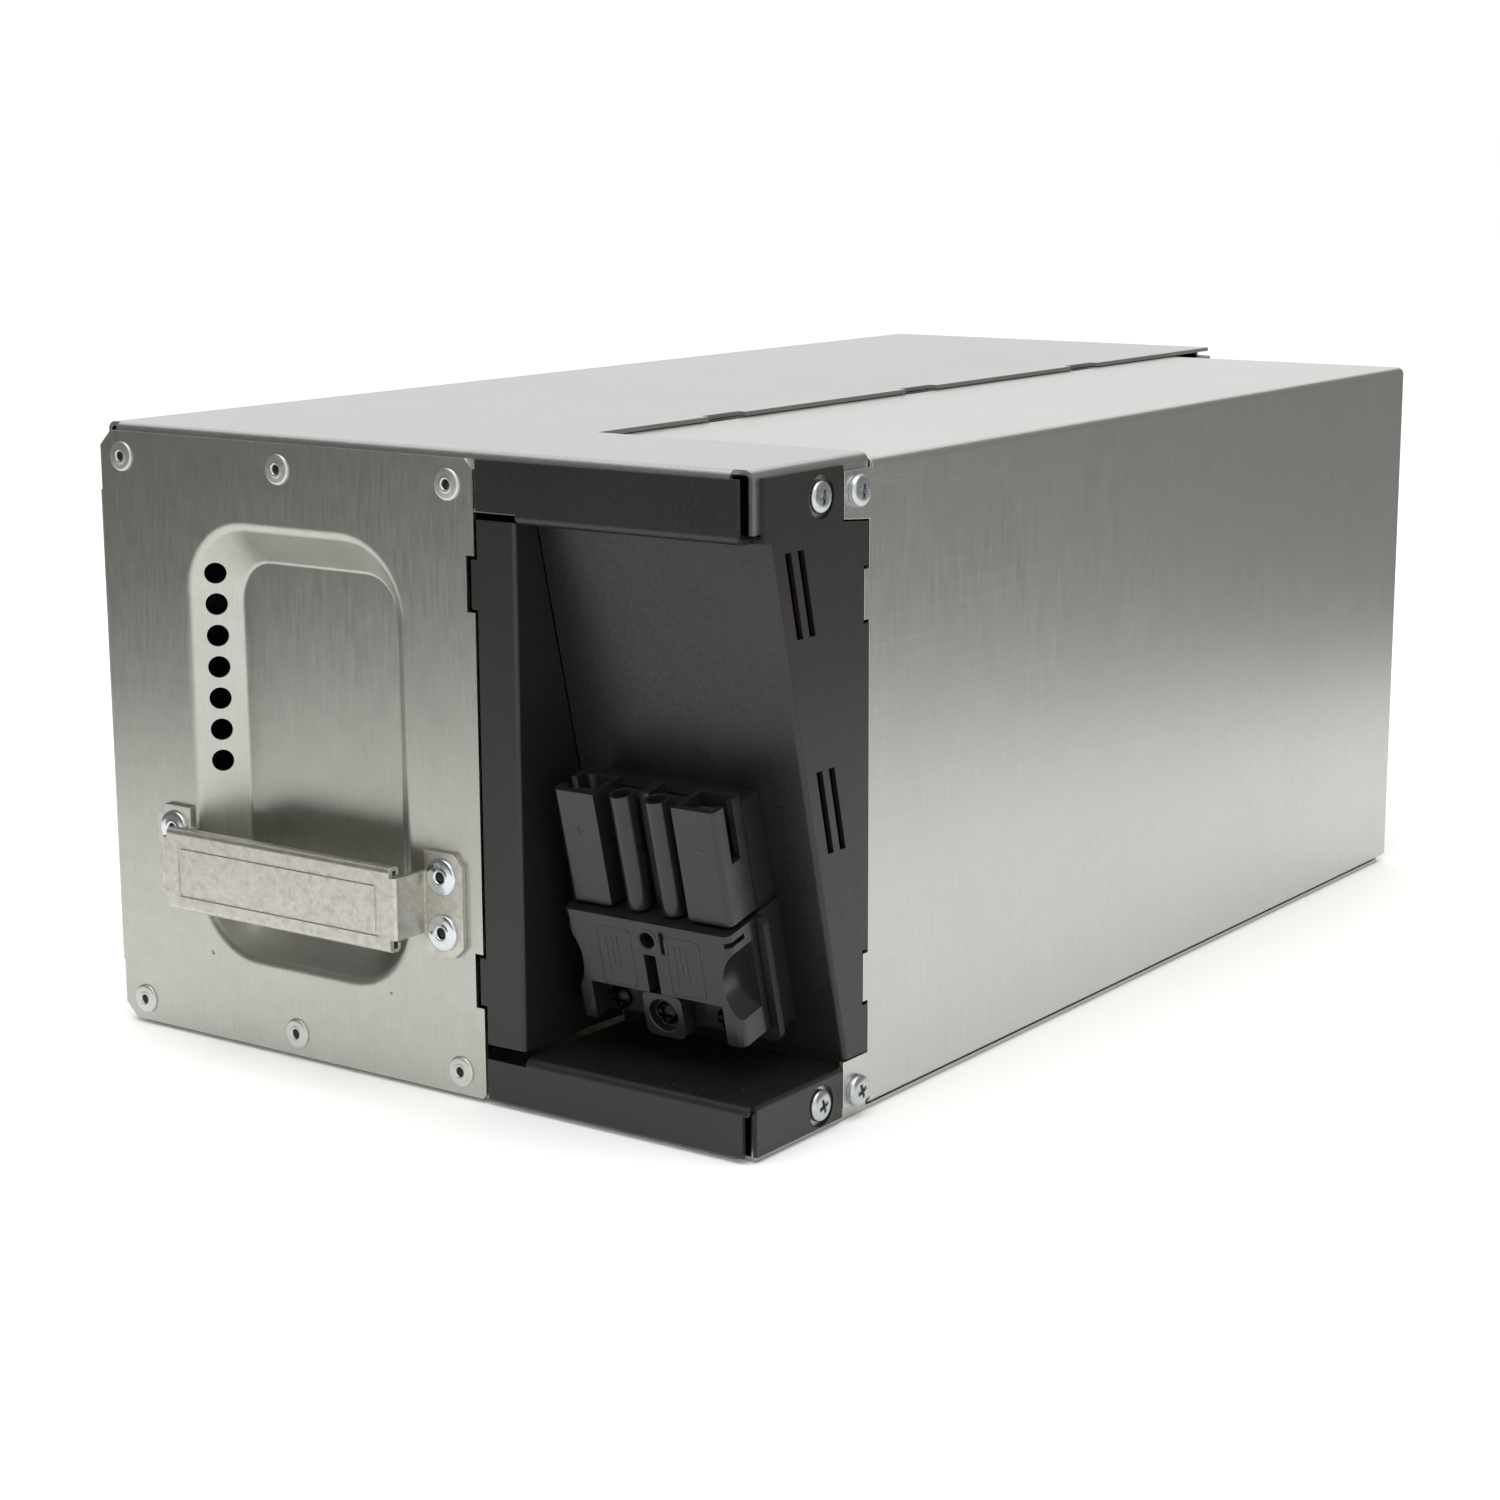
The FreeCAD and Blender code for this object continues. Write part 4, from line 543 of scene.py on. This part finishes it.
def rounded_loop(bm: bmesh.types.BMesh, left: float, right: float, low: float, high: float, y: float,
                 radius: float, segments: int = 8) -> bmesh.types.BMFace:
    """A flat face in an upright plane with rounded corners.

    Args:
        bm: The mesh that gets it.
        left: Its lowest x.
        right: Its highest x.
        low: Its lowest z.
        high: Its highest z.
        y: The plane that it lies in.
        radius: The radius of its corners.
        segments: How many edges each corner has.

    Returns:
        The face, which looks to the front.
    """
    corners = [bm.verts.new((x, y, z)) for x, z in ((left, low), (right, low), (right, high), (left, high))]
    bm.faces.new(corners)
    made = bmesh.ops.bevel(bm, geom=corners, offset=radius, offset_type="OFFSET", segments=segments,
                           profile=0.5, affect="VERTICES", clamp_overlap=True, material=-1)
    faces = set(made["faces"]) | {face for vert in made["verts"] for face in vert.link_faces}
    return max((face for face in faces if face.is_valid), key=lambda face: len(face.verts))


# ------------------------------------------------------------------------------ front plate
@dataclass
class FrontPlate:
    """The riveted front plate: a pressed dish with soft edges and a row of vents."""

    metal: float = 1.2 * MM
    dish_inset: tuple[float, float, float, float] = (31.0 * MM, 24.1 * MM, 23.8 * MM, 22.5 * MM)
    dish_radius: float = 22.0 * MM
    dish_deep: float = 10.0 * MM
    rim_radius: float = 4.0 * MM
    foot_radius: float = 1.6 * MM
    wall_slope: float = math.radians(45)
    rim_steps: int = 6
    foot_steps: int = 4
    corner_cut: float = 4.0 * MM
    low_right_cut: float = 1.2 * MM
    high_right_cut: float = 2.5 * MM
    return_inset: float = 16.0 * MM
    notch_deep: float = 2.6 * MM
    notches: tuple[tuple[float, float], ...] = ((25.0 * MM, 39.0 * MM), (125.4 * MM, 139.4 * MM))
    vent_dia: float = 5.8 * MM
    vent_pitch: float = 8.4 * MM
    vent_low: float = 76.6 * MM
    vent_count: int = 7
    # across, up, turn in radians, and length as a multiple of the wedge's own
    gouges: tuple[tuple[float, float, float, float], ...] = ((34.3 * MM, 23.4 * MM, 0.55, 3.6),
                                                             (98.3 * MM, 22.7 * MM, -0.5, 2.0))
    gouge_radius: float = 0.6 * MM
    gouge_deep: float = 1.2 * MM
    # how many times wider and steeper than that the wedge is made
    gouge_wide: float = 1.9
    gouge_steep: float = 1.2
    low: Vector = field(default_factory=lambda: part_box("front_plate")[0])
    high: Vector = field(default_factory=lambda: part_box("front_plate")[1])

    def outline(self, bm: bmesh.types.BMesh) -> list[bmesh.types.BMEdge]:
        """Draw the plate's edge with its cut corners and notches.

        Args:
            bm: The mesh that gets it.

        Returns:
            The edges of the outline.
        """
        left, right = self.low.x + self.metal, self.high.x
        y, low, high, cut = self.low.y, self.low.z, self.high.z, self.corner_cut
        low_cut, high_cut = self.low_right_cut, self.high_right_cut
        spots = [(left + cut, low), (right - low_cut, low), (right, low + low_cut)]
        for first, last in self.notches:
            notch = right - self.notch_deep
            spots += [(right, first), (notch, first), (notch, last), (right, last)]
        spots += [(right, high - high_cut), (right - high_cut, high), (left + cut, high), (left, high - cut),
                  (left, low + cut)]
        verts = [bm.verts.new((x, y, z)) for x, z in spots]
        return [bm.edges.new((verts[at - 1], verts[at])) for at in range(len(verts))]

    def profile(self) -> list[tuple[float, float]]:
        """The dish's cross-section as steps of (inwards, backwards)."""
        slope, spots = self.wall_slope, []
        for number in range(1, self.rim_steps + 1):
            angle = slope * number / self.rim_steps
            spots.append((self.rim_radius * math.sin(angle), self.rim_radius * (1 - math.cos(angle))))
        wall = self.dish_deep - spots[-1][1] - self.foot_radius * (1 - math.cos(slope))
        start = (spots[-1][0] + wall, spots[-1][1] + wall)
        spots.append(start)
        for number in range(1, self.foot_steps + 1):
            angle = slope * (1 - number / self.foot_steps)
            spots.append((start[0] + self.foot_radius * (math.sin(slope) - math.sin(angle)),
                          self.dish_deep - self.foot_radius * (1 - math.cos(angle))))
        return [(after[0] - before[0], after[1] - before[1])
                for before, after in zip([(0.0, 0.0)] + spots, spots)]

    def sheet(self) -> bmesh.types.BMesh:
        """Press the dish into the plate and give it its thickness."""
        bm = bmesh.new()
        left, right, low, high = self.dish_inset
        base = self.low.x + self.metal
        soft = self.rim_radius * math.tan(self.wall_slope / 2)
        face = rounded_loop(bm, base + left - soft, self.high.x - right + soft, self.low.z + low - soft,
                            self.high.z - high + soft, self.low.y, self.dish_radius, 10)
        rim = list(face.edges)
        outline = self.outline(bm)
        filled = bmesh.ops.triangle_fill(bm, use_beauty=True, use_dissolve=False, edges=rim + outline,
                                         normal=(0, -1, 0))
        flat = [thing for thing in filled["geom"] if isinstance(thing, bmesh.types.BMFace)]
        for inwards, backwards in self.profile():
            bmesh.ops.inset_region(bm, faces=[face], use_boundary=True, use_even_offset=True,
                                   thickness=inwards, depth=0.0)
            bmesh.ops.translate(bm, vec=(0, backwards, 0), verts=face.verts)
        for side in flat + [face]:
            side.normal_update()
        bm.normal_update()
        if face.normal.y > 0:
            bmesh.ops.reverse_faces(bm, faces=bm.faces)
        bmesh.ops.recalc_face_normals(bm, faces=bm.faces)
        if sum(side.normal.y * side.calc_area() for side in bm.faces) > 0:
            bmesh.ops.reverse_faces(bm, faces=bm.faces)
        bmesh.ops.solidify(bm, geom=bm.faces, thickness=self.metal)
        return bm

    def side_return(self) -> bmesh.types.BMesh:
        """The flange that folds round the case's left edge."""
        bm = bmesh.new()
        bmesh.ops.create_cube(bm, size=1.0)
        low_z, high_z = self.low.z + self.return_inset, self.high.z - self.return_inset
        deep = self.high.y - self.low.y
        bmesh.ops.scale(bm, vec=(self.metal, deep, high_z - low_z), verts=bm.verts)
        middle = (self.low.x + self.metal / 2, self.low.y + deep / 2, (low_z + high_z) / 2)
        bmesh.ops.translate(bm, vec=middle, verts=bm.verts)
        near_x, near_y = self.low.x + MM / 2, self.low.y + MM
        outer = [edge for edge in bm.edges
                 if all(vert.co.y < near_y and vert.co.x < near_x for vert in edge.verts)]
        bmesh.ops.bevel(bm, geom=outer, offset=self.metal * 0.98, offset_type="OFFSET", segments=5,
                        profile=0.5, affect="EDGES", clamp_overlap=True, material=-1)
        return bm

    def vents(self) -> bmesh.types.BMesh:
        """Drills for the vents, square to the dish's left slope."""
        bm = bmesh.new()
        radius = self.vent_dia / 2
        bmesh.ops.create_cone(bm, cap_ends=True, segments=28, radius1=radius, radius2=radius,
                              depth=7 * self.metal)
        way = Vector((1.0, -1.0, 0.0)).normalized()
        half = self.dish_deep / 2
        spots = [Vector((self.low.x + self.metal + self.dish_inset[0] + half, self.low.y + half,
                         self.vent_low + number * self.vent_pitch)) for number in range(self.vent_count)]
        return repeated(bm, [facing(spot, way) for spot in spots])

    def nicks(self) -> bmesh.types.BMesh:
        """Wedges that gouge the plate where a tool slipped, below the dish."""
        bm = bmesh.new()
        bmesh.ops.create_cone(bm, cap_ends=True, segments=4, radius1=self.gouge_radius, radius2=0.0,
                              depth=self.gouge_deep)
        marks = []
        for across, up, turn, long in self.gouges:
            spot = Vector((self.low.x + self.metal + across, self.low.y, self.low.z + up))
            shape = Matrix.Diagonal((long, self.gouge_wide, self.gouge_steep, 1.0))
            marks.append(Matrix.Translation(spot) @ Matrix.Rotation(turn, 4, "Y")
                         @ Matrix.Rotation(math.radians(-90), 4, "X") @ shape)
        return repeated(bm, marks)

    def build(self) -> None:
        """Build the plate, its side return and its finish."""
        plate = carved(carved(self.sheet(), self.vents()), self.nicks())
        finish_piece(plate, "front_plate_pressed", Body.CASE, PLATE_ZINC, ["front_plate"], 0.22)
        finish_piece(self.side_return(), "front_plate_return", Body.CASE, PLATE_ZINC, (), 0.2)


# ------------------------------------------------------------------------------ fasteners
@dataclass
class BlindRivets:
    """Hollow blind rivets: a low flange rolled round a bore, darkened by a plug of painted shade."""

    node: str
    outward: Vector
    head: float
    dome: float
    bore: float
    finish: Finish
    deep: float = 3.2
    slot: str = "rivet_steel"

    def build(self) -> None:
        """Turn one rivet and set it in each place."""
        head, dome, bore = self.head / 2, self.dome, self.bore / 2
        flange = [(head, 0.0), (head, dome * 0.35), (head * 0.97, dome * 0.55), (head * 0.9, dome * 0.7),
                  (head * 0.8, dome * 0.78), (bore * 2.0, dome * 0.82), (bore * 1.7, dome * 0.9),
                  (bore * 1.5, dome), (bore * 1.25, dome * 0.98), (bore * 1.06, dome * 0.75),
                  (bore, dome * 0.3)]
        rivet = turned(flange + [(bore, -self.deep), (0.0, -self.deep)], 40)
        # A dark plug inside the hollow bore: painted shade.
        bore_shade_plug = turned([(0.0, -self.deep * 0.9), (bore * 0.97, -self.deep * 0.9), (bore * 0.97, dome * 0.2),
                       (bore * 0.8, dome * 0.35), (0.0, dome * 0.38)], 24)
        spots = []
        for low, high in solid_boxes(self.node):
            middle = (low + high) / 2
            face = high if max(self.outward) > 0 else low
            axis = max(range(3), key=lambda at: abs(self.outward[at]))
            middle[axis] = face[axis] - self.outward[axis] * self.dome * MM
            spots.append(facing(middle, self.outward))
        finish_piece(repeated(rivet, spots), self.node + "_set", Body.CASE, self.finish,
                     [self.node])
        finish_piece(repeated(bore_shade_plug, spots), self.node + "_bore_shade_plugs", Body.CASE, RIVET_BORE_SHADE)


@dataclass
class CrossScrews:
    """Pan-head screws with a tapered cross recess."""

    node: str
    body: Body
    outward: Vector
    head: float
    rise: float
    slot: str
    finish: Finish
    # the cross's length and width, as shares of the head's width
    cross_long: float = 0.6
    cross_wide: float = 0.17
    # the shank's radius, as a share of the head's, and its length below the head in millimetres
    shank: float = 0.45
    shank_deep: float = 1.5
    # how far the first screw is turned, and each next one more, in radians
    first_turn: float = 0.35
    more_turn: float = 1.1

    def screw(self) -> bmesh.types.BMesh:
        """Turn the head and sink the cross in it."""
        head, rise = self.head / 2, self.rise
        pan = [(head, rise * 0.4), (head * 0.97, rise * 0.6), (head * 0.89, rise * 0.78),
               (head * 0.76, rise * 0.9), (head * 0.6, rise * 0.97), (head * 0.4, rise), (0.0, rise)]
        shank, deep = head * self.shank, self.shank_deep
        profile = [(0.0, -deep), (shank, -deep), (shank, 0.0), (head * 0.97, 0.0), (head, rise * 0.12)]
        body = turned(profile + pan, 40)
        long, wide = self.head * self.cross_long * MM, self.head * self.cross_wide * MM
        for size in ((long, wide), (wide, long)):
            arm = bmesh.new()
            bmesh.ops.create_cube(arm, size=1.0)
            bmesh.ops.scale(arm, vec=(size[0], size[1], rise * MM * 1.5), verts=arm.verts)
            foot = [vert for vert in arm.verts if vert.co.z < 0]
            bmesh.ops.scale(arm, vec=(0.6, 0.6, 1.0), verts=foot)
            bmesh.ops.translate(arm, vec=(0, 0, rise * MM), verts=arm.verts)
            body = carved(body, arm)
        return body

    def build(self) -> None:
        """Make one screw and drive it in each place."""
        spots = []
        axis = max(range(3), key=lambda at: abs(self.outward[at]))
        for number, (low, high) in enumerate(solid_boxes(self.node)):
            middle = (low + high) / 2
            middle[axis] = high[axis] - self.rise * MM
            turn = Matrix.Rotation(self.first_turn + self.more_turn * number, 4, "Z")
            spots.append(facing(middle, self.outward) @ turn)
        finish_piece(repeated(self.screw(), spots), self.node + "_driven", self.body, self.finish,
                     [self.node], 0.12, 2, 30.0)


# ------------------------------------------------------------------------------ softened sheets
@dataclass
class SoftenedPart:
    """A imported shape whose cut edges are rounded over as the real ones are."""

    node: str
    body: Body
    slot: str
    finish: Finish
    edge_mm: float = 0.2
    segments: int = 2
    angle: float = 38.0

    def build(self) -> None:
        """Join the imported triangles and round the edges."""
        finish_piece(merged_copy(self.node), self.node + "_finished", self.body, self.finish,
                     [self.node], self.edge_mm, self.segments, self.angle)


@dataclass
class WeldMarks:
    """Faint round marks of the spot welds along the foot of the service cover."""

    first: float = 59.5 * MM
    pitch: float = 48.8 * MM
    count: int = 5
    up: float = 9.5 * MM
    # radius and height of the mark, in millimetres, from its rim to its middle
    profile: tuple[tuple[float, float], ...] = ((3.0, -0.05), (2.9, 0.0), (2.5, 0.04), (1.9, 0.05),
                                                (1.5, 0.0), (0.9, -0.01), (0.0, 0.0))
    sunk: float = 0.05 * MM

    def build(self) -> None:
        """Swell a low disc at each weld."""
        low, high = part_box("service_cover")
        disc = turned(self.profile, 24)
        spots = [Vector((high.x - self.sunk, low.y + self.first + number * self.pitch, low.z + self.up))
                 for number in range(self.count)]
        places = [facing(spot, Vector((1.0, 0.0, 0.0))) for spot in spots]
        finish_piece(repeated(disc, places), "cover_weld_marks", Body.COVER, WELD_ZINC)


@dataclass(frozen=True)
class Slope:
    """The connector's own axes: across the panel, up its slope and out of it."""

    across: Vector
    up: Vector
    out: Vector

    @classmethod
    def of_joint(cls, name: str) -> "Slope":
        """The axes of the slope that a joint slides along."""
        up = Vector(next(row["axis"] for row in frame["joints"] if row["name"] == name)).normalized()
        across = Vector((1.0, 0.0, 0.0))
        return cls(across, up, across.cross(up))

    def place(self, spot: Vector) -> Matrix:
        """The matrix that takes the connector's axes to the row frame, with its origin at a spot."""
        turn = Matrix((self.across, self.up, self.out)).transposed().to_4x4()
        return Matrix.Translation(spot) @ turn

    def box(self, node: str) -> tuple[Vector, Vector]:
        """A node's lowest and highest corner along the connector's own axes."""
        spots = [vert.co for vert in frame["nodes"][node].data.vertices]
        local = [(spot.dot(self.across), spot.dot(self.up), spot.dot(self.out)) for spot in spots]
        return (Vector(min(row[axis] for row in local) for axis in range(3)),
                Vector(max(row[axis] for row in local) for axis in range(3)))

    def spot(self, across: float, up: float, out: float) -> Vector:
        """The row frame's place of a local place."""
        return self.across * across + self.up * up + self.out * out


@dataclass
class PlugTrim:
    """Raised trim of the plug: marks on the blocks and panels on the finger grip, all without text."""

    slope: Slope
    proud: float = 0.12 * MM
    line: float = 0.35 * MM
    panel: tuple[float, float] = (10.5 * MM, 16.0 * MM)
    panel_in: float = 5.2 * MM
    panel_drop: float = 3.0 * MM
    panel_radius: float = 1.4 * MM
    # how far across its panel each ridge is, and its length
    ridges: tuple[tuple[float, float], ...] = ((2.6 * MM, 11.0 * MM), (4.3 * MM, 8.0 * MM),
                                               (6.0 * MM, 9.0 * MM))
    ridge_drop: float = 2.4 * MM
    mark: float = 2.6 * MM
    mark_in: float = 6.2 * MM
    mark_drop: float = 10.5 * MM
    ring_radii: tuple[float, float] = (3.1 * MM, 2.7 * MM)
    ring_drop: float = 4.9 * MM
    # the small frame beside the locking hole: its width, height and radius, and where its middle is
    tab: tuple[float, float, float] = (2.6 * MM, 6.8 * MM, 1.2 * MM)
    tab_across: float = 4.6 * MM
    tab_drop: float = 5.0 * MM

    def frame_of(self, bm: bmesh.types.BMesh, wide: float, tall: float, middle: tuple[float, float],
                 radius: float, line: float) -> None:
        """Raise a thin rounded frame on the local x-y plane.

        Args:
            bm: The mesh that gets it.
            wide: Its width.
            tall: Its height.
            middle: Its middle, across and up.
            radius: Its outer corner radius.
            line: How wide its line is.
        """
        made = bmesh.new()
        corners = [made.verts.new((middle[0] + x * wide / 2, middle[1] + y * tall / 2, 0.0))
                   for x, y in ((-1, -1), (1, -1), (1, 1), (-1, 1))]
        made.faces.new(corners)
        bmesh.ops.bevel(made, geom=made.verts[:], offset=radius, offset_type="OFFSET", segments=5,
                        profile=0.5, affect="VERTICES", clamp_overlap=True, material=-1)
        face = max(made.faces, key=lambda one: one.calc_area())
        inner = bmesh.ops.inset_region(made, faces=[face], use_even_offset=True, use_boundary=True,
                                       thickness=line, depth=0.0)
        bmesh.ops.delete(made, geom=[one for one in made.faces if one not in inner["faces"]], context="FACES")
        self.raise_up(made, bm)

    def bar(self, bm: bmesh.types.BMesh, wide: float, tall: float, middle: tuple[float, float]) -> None:
        """Raise a small square-ended bar on the local x-y plane."""
        made = bmesh.new()
        bmesh.ops.create_grid(made, x_segments=1, y_segments=1, size=0.5)
        bmesh.ops.scale(made, vec=(wide, tall, 1.0), verts=made.verts)
        bmesh.ops.translate(made, vec=(middle[0], middle[1], 0.0), verts=made.verts)
        self.raise_up(made, bm)

    def ring(self, bm: bmesh.types.BMesh, outer: float, inner: float, middle: tuple[float, float]) -> None:
        """Raise a ring on the local x-y plane."""
        self.frame_of(bm, 2 * outer, 2 * outer, middle, outer * 0.98, outer - inner)

    def raise_up(self, made: bmesh.types.BMesh, bm: bmesh.types.BMesh) -> None:
        """Give flat faces the trim's height and add them to a mesh. The first is freed."""
        made.normal_update()
        down = [face for face in made.faces if face.normal.z < 0]
        bmesh.ops.reverse_faces(made, faces=down)
        top = bmesh.ops.extrude_face_region(made, geom=made.faces[:])
        raised = [thing for thing in top["geom"] if isinstance(thing, bmesh.types.BMVert)]
        bmesh.ops.translate(made, vec=(0.0, 0.0, self.proud), verts=raised)
        bmesh.ops.recalc_face_normals(made, faces=made.faces)
        mesh = bpy.data.meshes.new("working")
        made.to_mesh(mesh)
        made.free()
        bm.from_mesh(mesh)
        bpy.data.meshes.remove(mesh)

    def set_on(self, bm: bmesh.types.BMesh, out: float) -> None:
        """Take a mesh from the local x-y plane to the face that is so far out of the slope."""
        place = self.slope.place(self.slope.spot(0.0, 0.0, out))
        bmesh.ops.transform(bm, matrix=place, verts=bm.verts)

    def build(self) -> None:
        """Raise the block marks and the grip's panels."""
        blocks, grip = self.slope.box("plug_housing"), self.slope.box("plug_grip")
        middle = (grip[0].x + grip[1].x) / 2
        marks = bmesh.new()
        mark_up = blocks[1].y - self.mark_drop
        left, right = blocks[0].x + self.mark_in, blocks[1].x - self.mark_in
        self.bar(marks, self.mark, self.line, (left, mark_up))
        self.bar(marks, self.line, self.mark, (left, mark_up))
        self.bar(marks, self.mark, self.line, (right, mark_up))
        self.set_on(marks, blocks[1].z)
        finish_piece(marks, "plug_polarity_marks", Body.PLUG, PLUG_RIDGE_HIGHLIGHT)
        trim = bmesh.new()
        top = grip[1].y
        for sign in (-1, 1):
            wide, tall = self.panel
            centre = (middle + sign * (self.panel_in + wide / 2), top - self.panel_drop - tall / 2)
            self.frame_of(trim, wide, tall, centre, self.panel_radius, self.line)
            start = centre[1] + tall / 2 - self.ridge_drop
            for across, long in self.ridges:
                self.bar(trim, self.line, long, (centre[0] - wide / 2 + across, start - long / 2))
        self.ring(trim, *self.ring_radii, (middle, top - self.ring_drop))
        wide, tall, radius = self.tab
        self.frame_of(trim, wide, tall, (middle + self.tab_across, top - self.tab_drop), radius, self.line)
        self.set_on(trim, grip[1].z)
        finish_piece(trim, "plug_grip_panels", Body.PLUG, PLUG_RIDGE_HIGHLIGHT)


def dress_nodes(finishes: dict[str, Finish]) -> None:
    """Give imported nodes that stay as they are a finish.

    Args:
        finishes: The finish of each node, or of each group of nodes with the same first words.
    """
    for name, node in frame["nodes"].items():
        for start, finish in finishes.items():
            if name.startswith(start):
                for number in range(len(node.data.materials)):
                    node.data.materials[number] = finish.make()
                LOG.info("%s: %s", name, finish.name)


# ------------------------------------------------------------------------------ studio
@dataclass
class Studio:
    """A white table in soft light, with two grey screens that show only in reflections."""

    lens: float = 72.135
    camera_place: tuple[float, float, float] = (0.497922, -0.747465, 0.243457)
    camera_turn: tuple[float, float, float] = (78.10249, 0.24405, 35.40939)
    table_reach: float = 30.0
    world_strength: float = 1.1

    def build(self) -> None:
        """Set the camera, the table, the lights and the screens."""
        scene = bpy.context.scene
        scene.view_settings.view_transform = "Standard"
        lens = bpy.data.cameras.new("camera")
        lens.lens = self.lens
        lens.sensor_width = 36.0
        camera = bpy.data.objects.new("camera", lens)
        camera.location = self.camera_place
        camera.rotation_euler = [math.radians(angle) for angle in self.camera_turn]
        scene.collection.objects.link(camera)
        scene.camera = camera
        world = bpy.data.worlds.new("white_room")
        world.use_nodes = True
        background = world.node_tree.nodes["Background"]
        background.inputs["Color"].default_value = (1.0, 1.0, 1.0, 1.0)
        background.inputs["Strength"].default_value = self.world_strength
        scene.world = world
        self.table()
        self.lamp("overhead_softbox", (0.2, -0.4, 1.5), (0.1, -0.1, 0.0), 1.4, 12.0)
        self.screen("right_screen", (0.30, 0.36, 0.4), math.radians(114), 1.3, "959592")
        self.screen("front_screen", (-0.34, -0.48, 0.4), math.radians(-45), 1.0, "787876")

    def table(self) -> None:
        """Lay the white table."""
        bm = bmesh.new()
        bmesh.ops.create_grid(bm, x_segments=2, y_segments=2, size=self.table_reach)
        table = add_object(bm, "table")
        table.data.materials.append(TABLE_CARD.make())

    def lamp(self, name: str, place: tuple[float, float, float], target: tuple[float, float, float],
             size: float, watts: float) -> None:
        """Hang a square softbox that looks at a target."""
        light = bpy.data.lights.new(name, "AREA")
        light.size = size
        light.energy = watts
        light.specular_factor = 0.1
        lamp = bpy.data.objects.new(name, light)
        lamp.location = place
        lamp.rotation_euler = (Vector(target) - Vector(place)).to_track_quat("-Z", "Y").to_euler()
        bpy.context.scene.collection.objects.link(lamp)

    def screen(self, name: str, middle: tuple[float, float, float], turn: float, wide: float,
               grey: str) -> None:
        """Stand a grey screen that shows only in reflections, to dim what the metal mirrors."""
        bm = bmesh.new()
        bmesh.ops.create_grid(bm, x_segments=1, y_segments=1, size=0.5)
        bmesh.ops.scale(bm, vec=(wide, 2 * middle[2], 1.0), verts=bm.verts)
        for angle, axis in ((math.radians(90), "X"), (turn, "Z")):
            bmesh.ops.rotate(bm, cent=(0, 0, 0), matrix=Matrix.Rotation(angle, 3, axis), verts=bm.verts)
        bmesh.ops.translate(bm, vec=middle, verts=bm.verts)
        screen = add_object(bm, name)
        material = bpy.data.materials.new(name)
        material.use_nodes = True
        tree = material.node_tree
        tree.nodes.remove(tree.nodes["Principled BSDF"])
        glow = add_node(tree, "Emission", {"Color": linear(grey), "Strength": 1.0})
        tree.links.new(glow.outputs[0], tree.nodes["Material Output"].inputs[0])
        screen.data.materials.append(material)
        screen.visible_camera = False
        screen.visible_diffuse = False
        screen.visible_shadow = False
        screen.visible_transmission = False


def main() -> None:
    """Build the studio and every sub-assembly in order."""
    logging.basicConfig(level=logging.INFO, format="%(name)s %(message)s")
    Studio().build()
    FrontPlate().build()
    front = Vector((0.0, -1.0, 0.0))
    right = Vector((1.0, 0.0, 0.0))
    for node, way in (("plate_rivets", front), ("rear_rivets", -front)):
        BlindRivets(node, way, head=8.0, dome=0.9, bore=2.4, finish=RIVET_STEEL).build()
    BlindRivets("handle_rivets", front, head=9.5, dome=1.3, bore=2.8, finish=RIVET_BRIGHT).build()
    for node, body in (("bay_screws", Body.CASE), ("cover_screws", Body.COVER)):
        CrossScrews(node, body, right, head=8.0, rise=2.2, slot="screw_steel", finish=SCREW_ZINC).build()
    for part in (SoftenedPart("case_shell", Body.CASE, "zinc_sheet", SHEET_ZINC, 0.4, 3),
                 SoftenedPart("service_cover", Body.COVER, "zinc_sheet", COVER_ZINC, 0.3, 3),
                 SoftenedPart("bay_panel", Body.CASE, "black_sheet", BAY_POWDER, 0.3),
                 SoftenedPart("bay_left_wall", Body.CASE, "black_sheet", BAY_POWDER, 0.3),
                 SoftenedPart("handle", Body.CASE, "zinc_bright", HANDLE_ZINC, 0.62, 4, 50.0),
                 SoftenedPart("connector_dock", Body.CASE, "dock_plastic", DOCK_NYLON_SHADED, 0.35),
                 SoftenedPart("plug_housing", Body.PLUG, "plug_plastic", PLUG_PLASTIC, 0.3),
                 SoftenedPart("plug_grip", Body.PLUG, "plug_plastic", PLUG_PLASTIC, 0.5, 3),
                 SoftenedPart("guide_boss", Body.CASE, "plug_plastic", PLUG_PLASTIC, 0.5, 3)):
        part.build()
    WeldMarks().build()
    PlugTrim(Slope.of_joint("plug_slide")).build()
    dress_nodes({"rear_panel": SHEET_ZINC, "guide_screw": SCREW_BLACK, "plug_screws": SCREW_BLACK,
                 "dock_screws": SCREW_ZINC, "plug_contacts": CONTACT_TIN, "dock_studs": CONTACT_TIN,
                 "battery_left": BLOCK_ABS, "battery_right": BLOCK_ABS, "battery_terminals": CONTACT_TIN,
                 "series_jumpers": JUMPER_PVC, "lead_positive": LEAD_RED, "lead_negative": LEAD_BLACK,
                 "base_liner": LINER_BOARD, "top_film": FILM_POLYPROPYLENE, "front_stop": LINER_BOARD,
                 "rear_foam": FOAM_CHARCOAL})


if __name__ == "__main__":
    main()
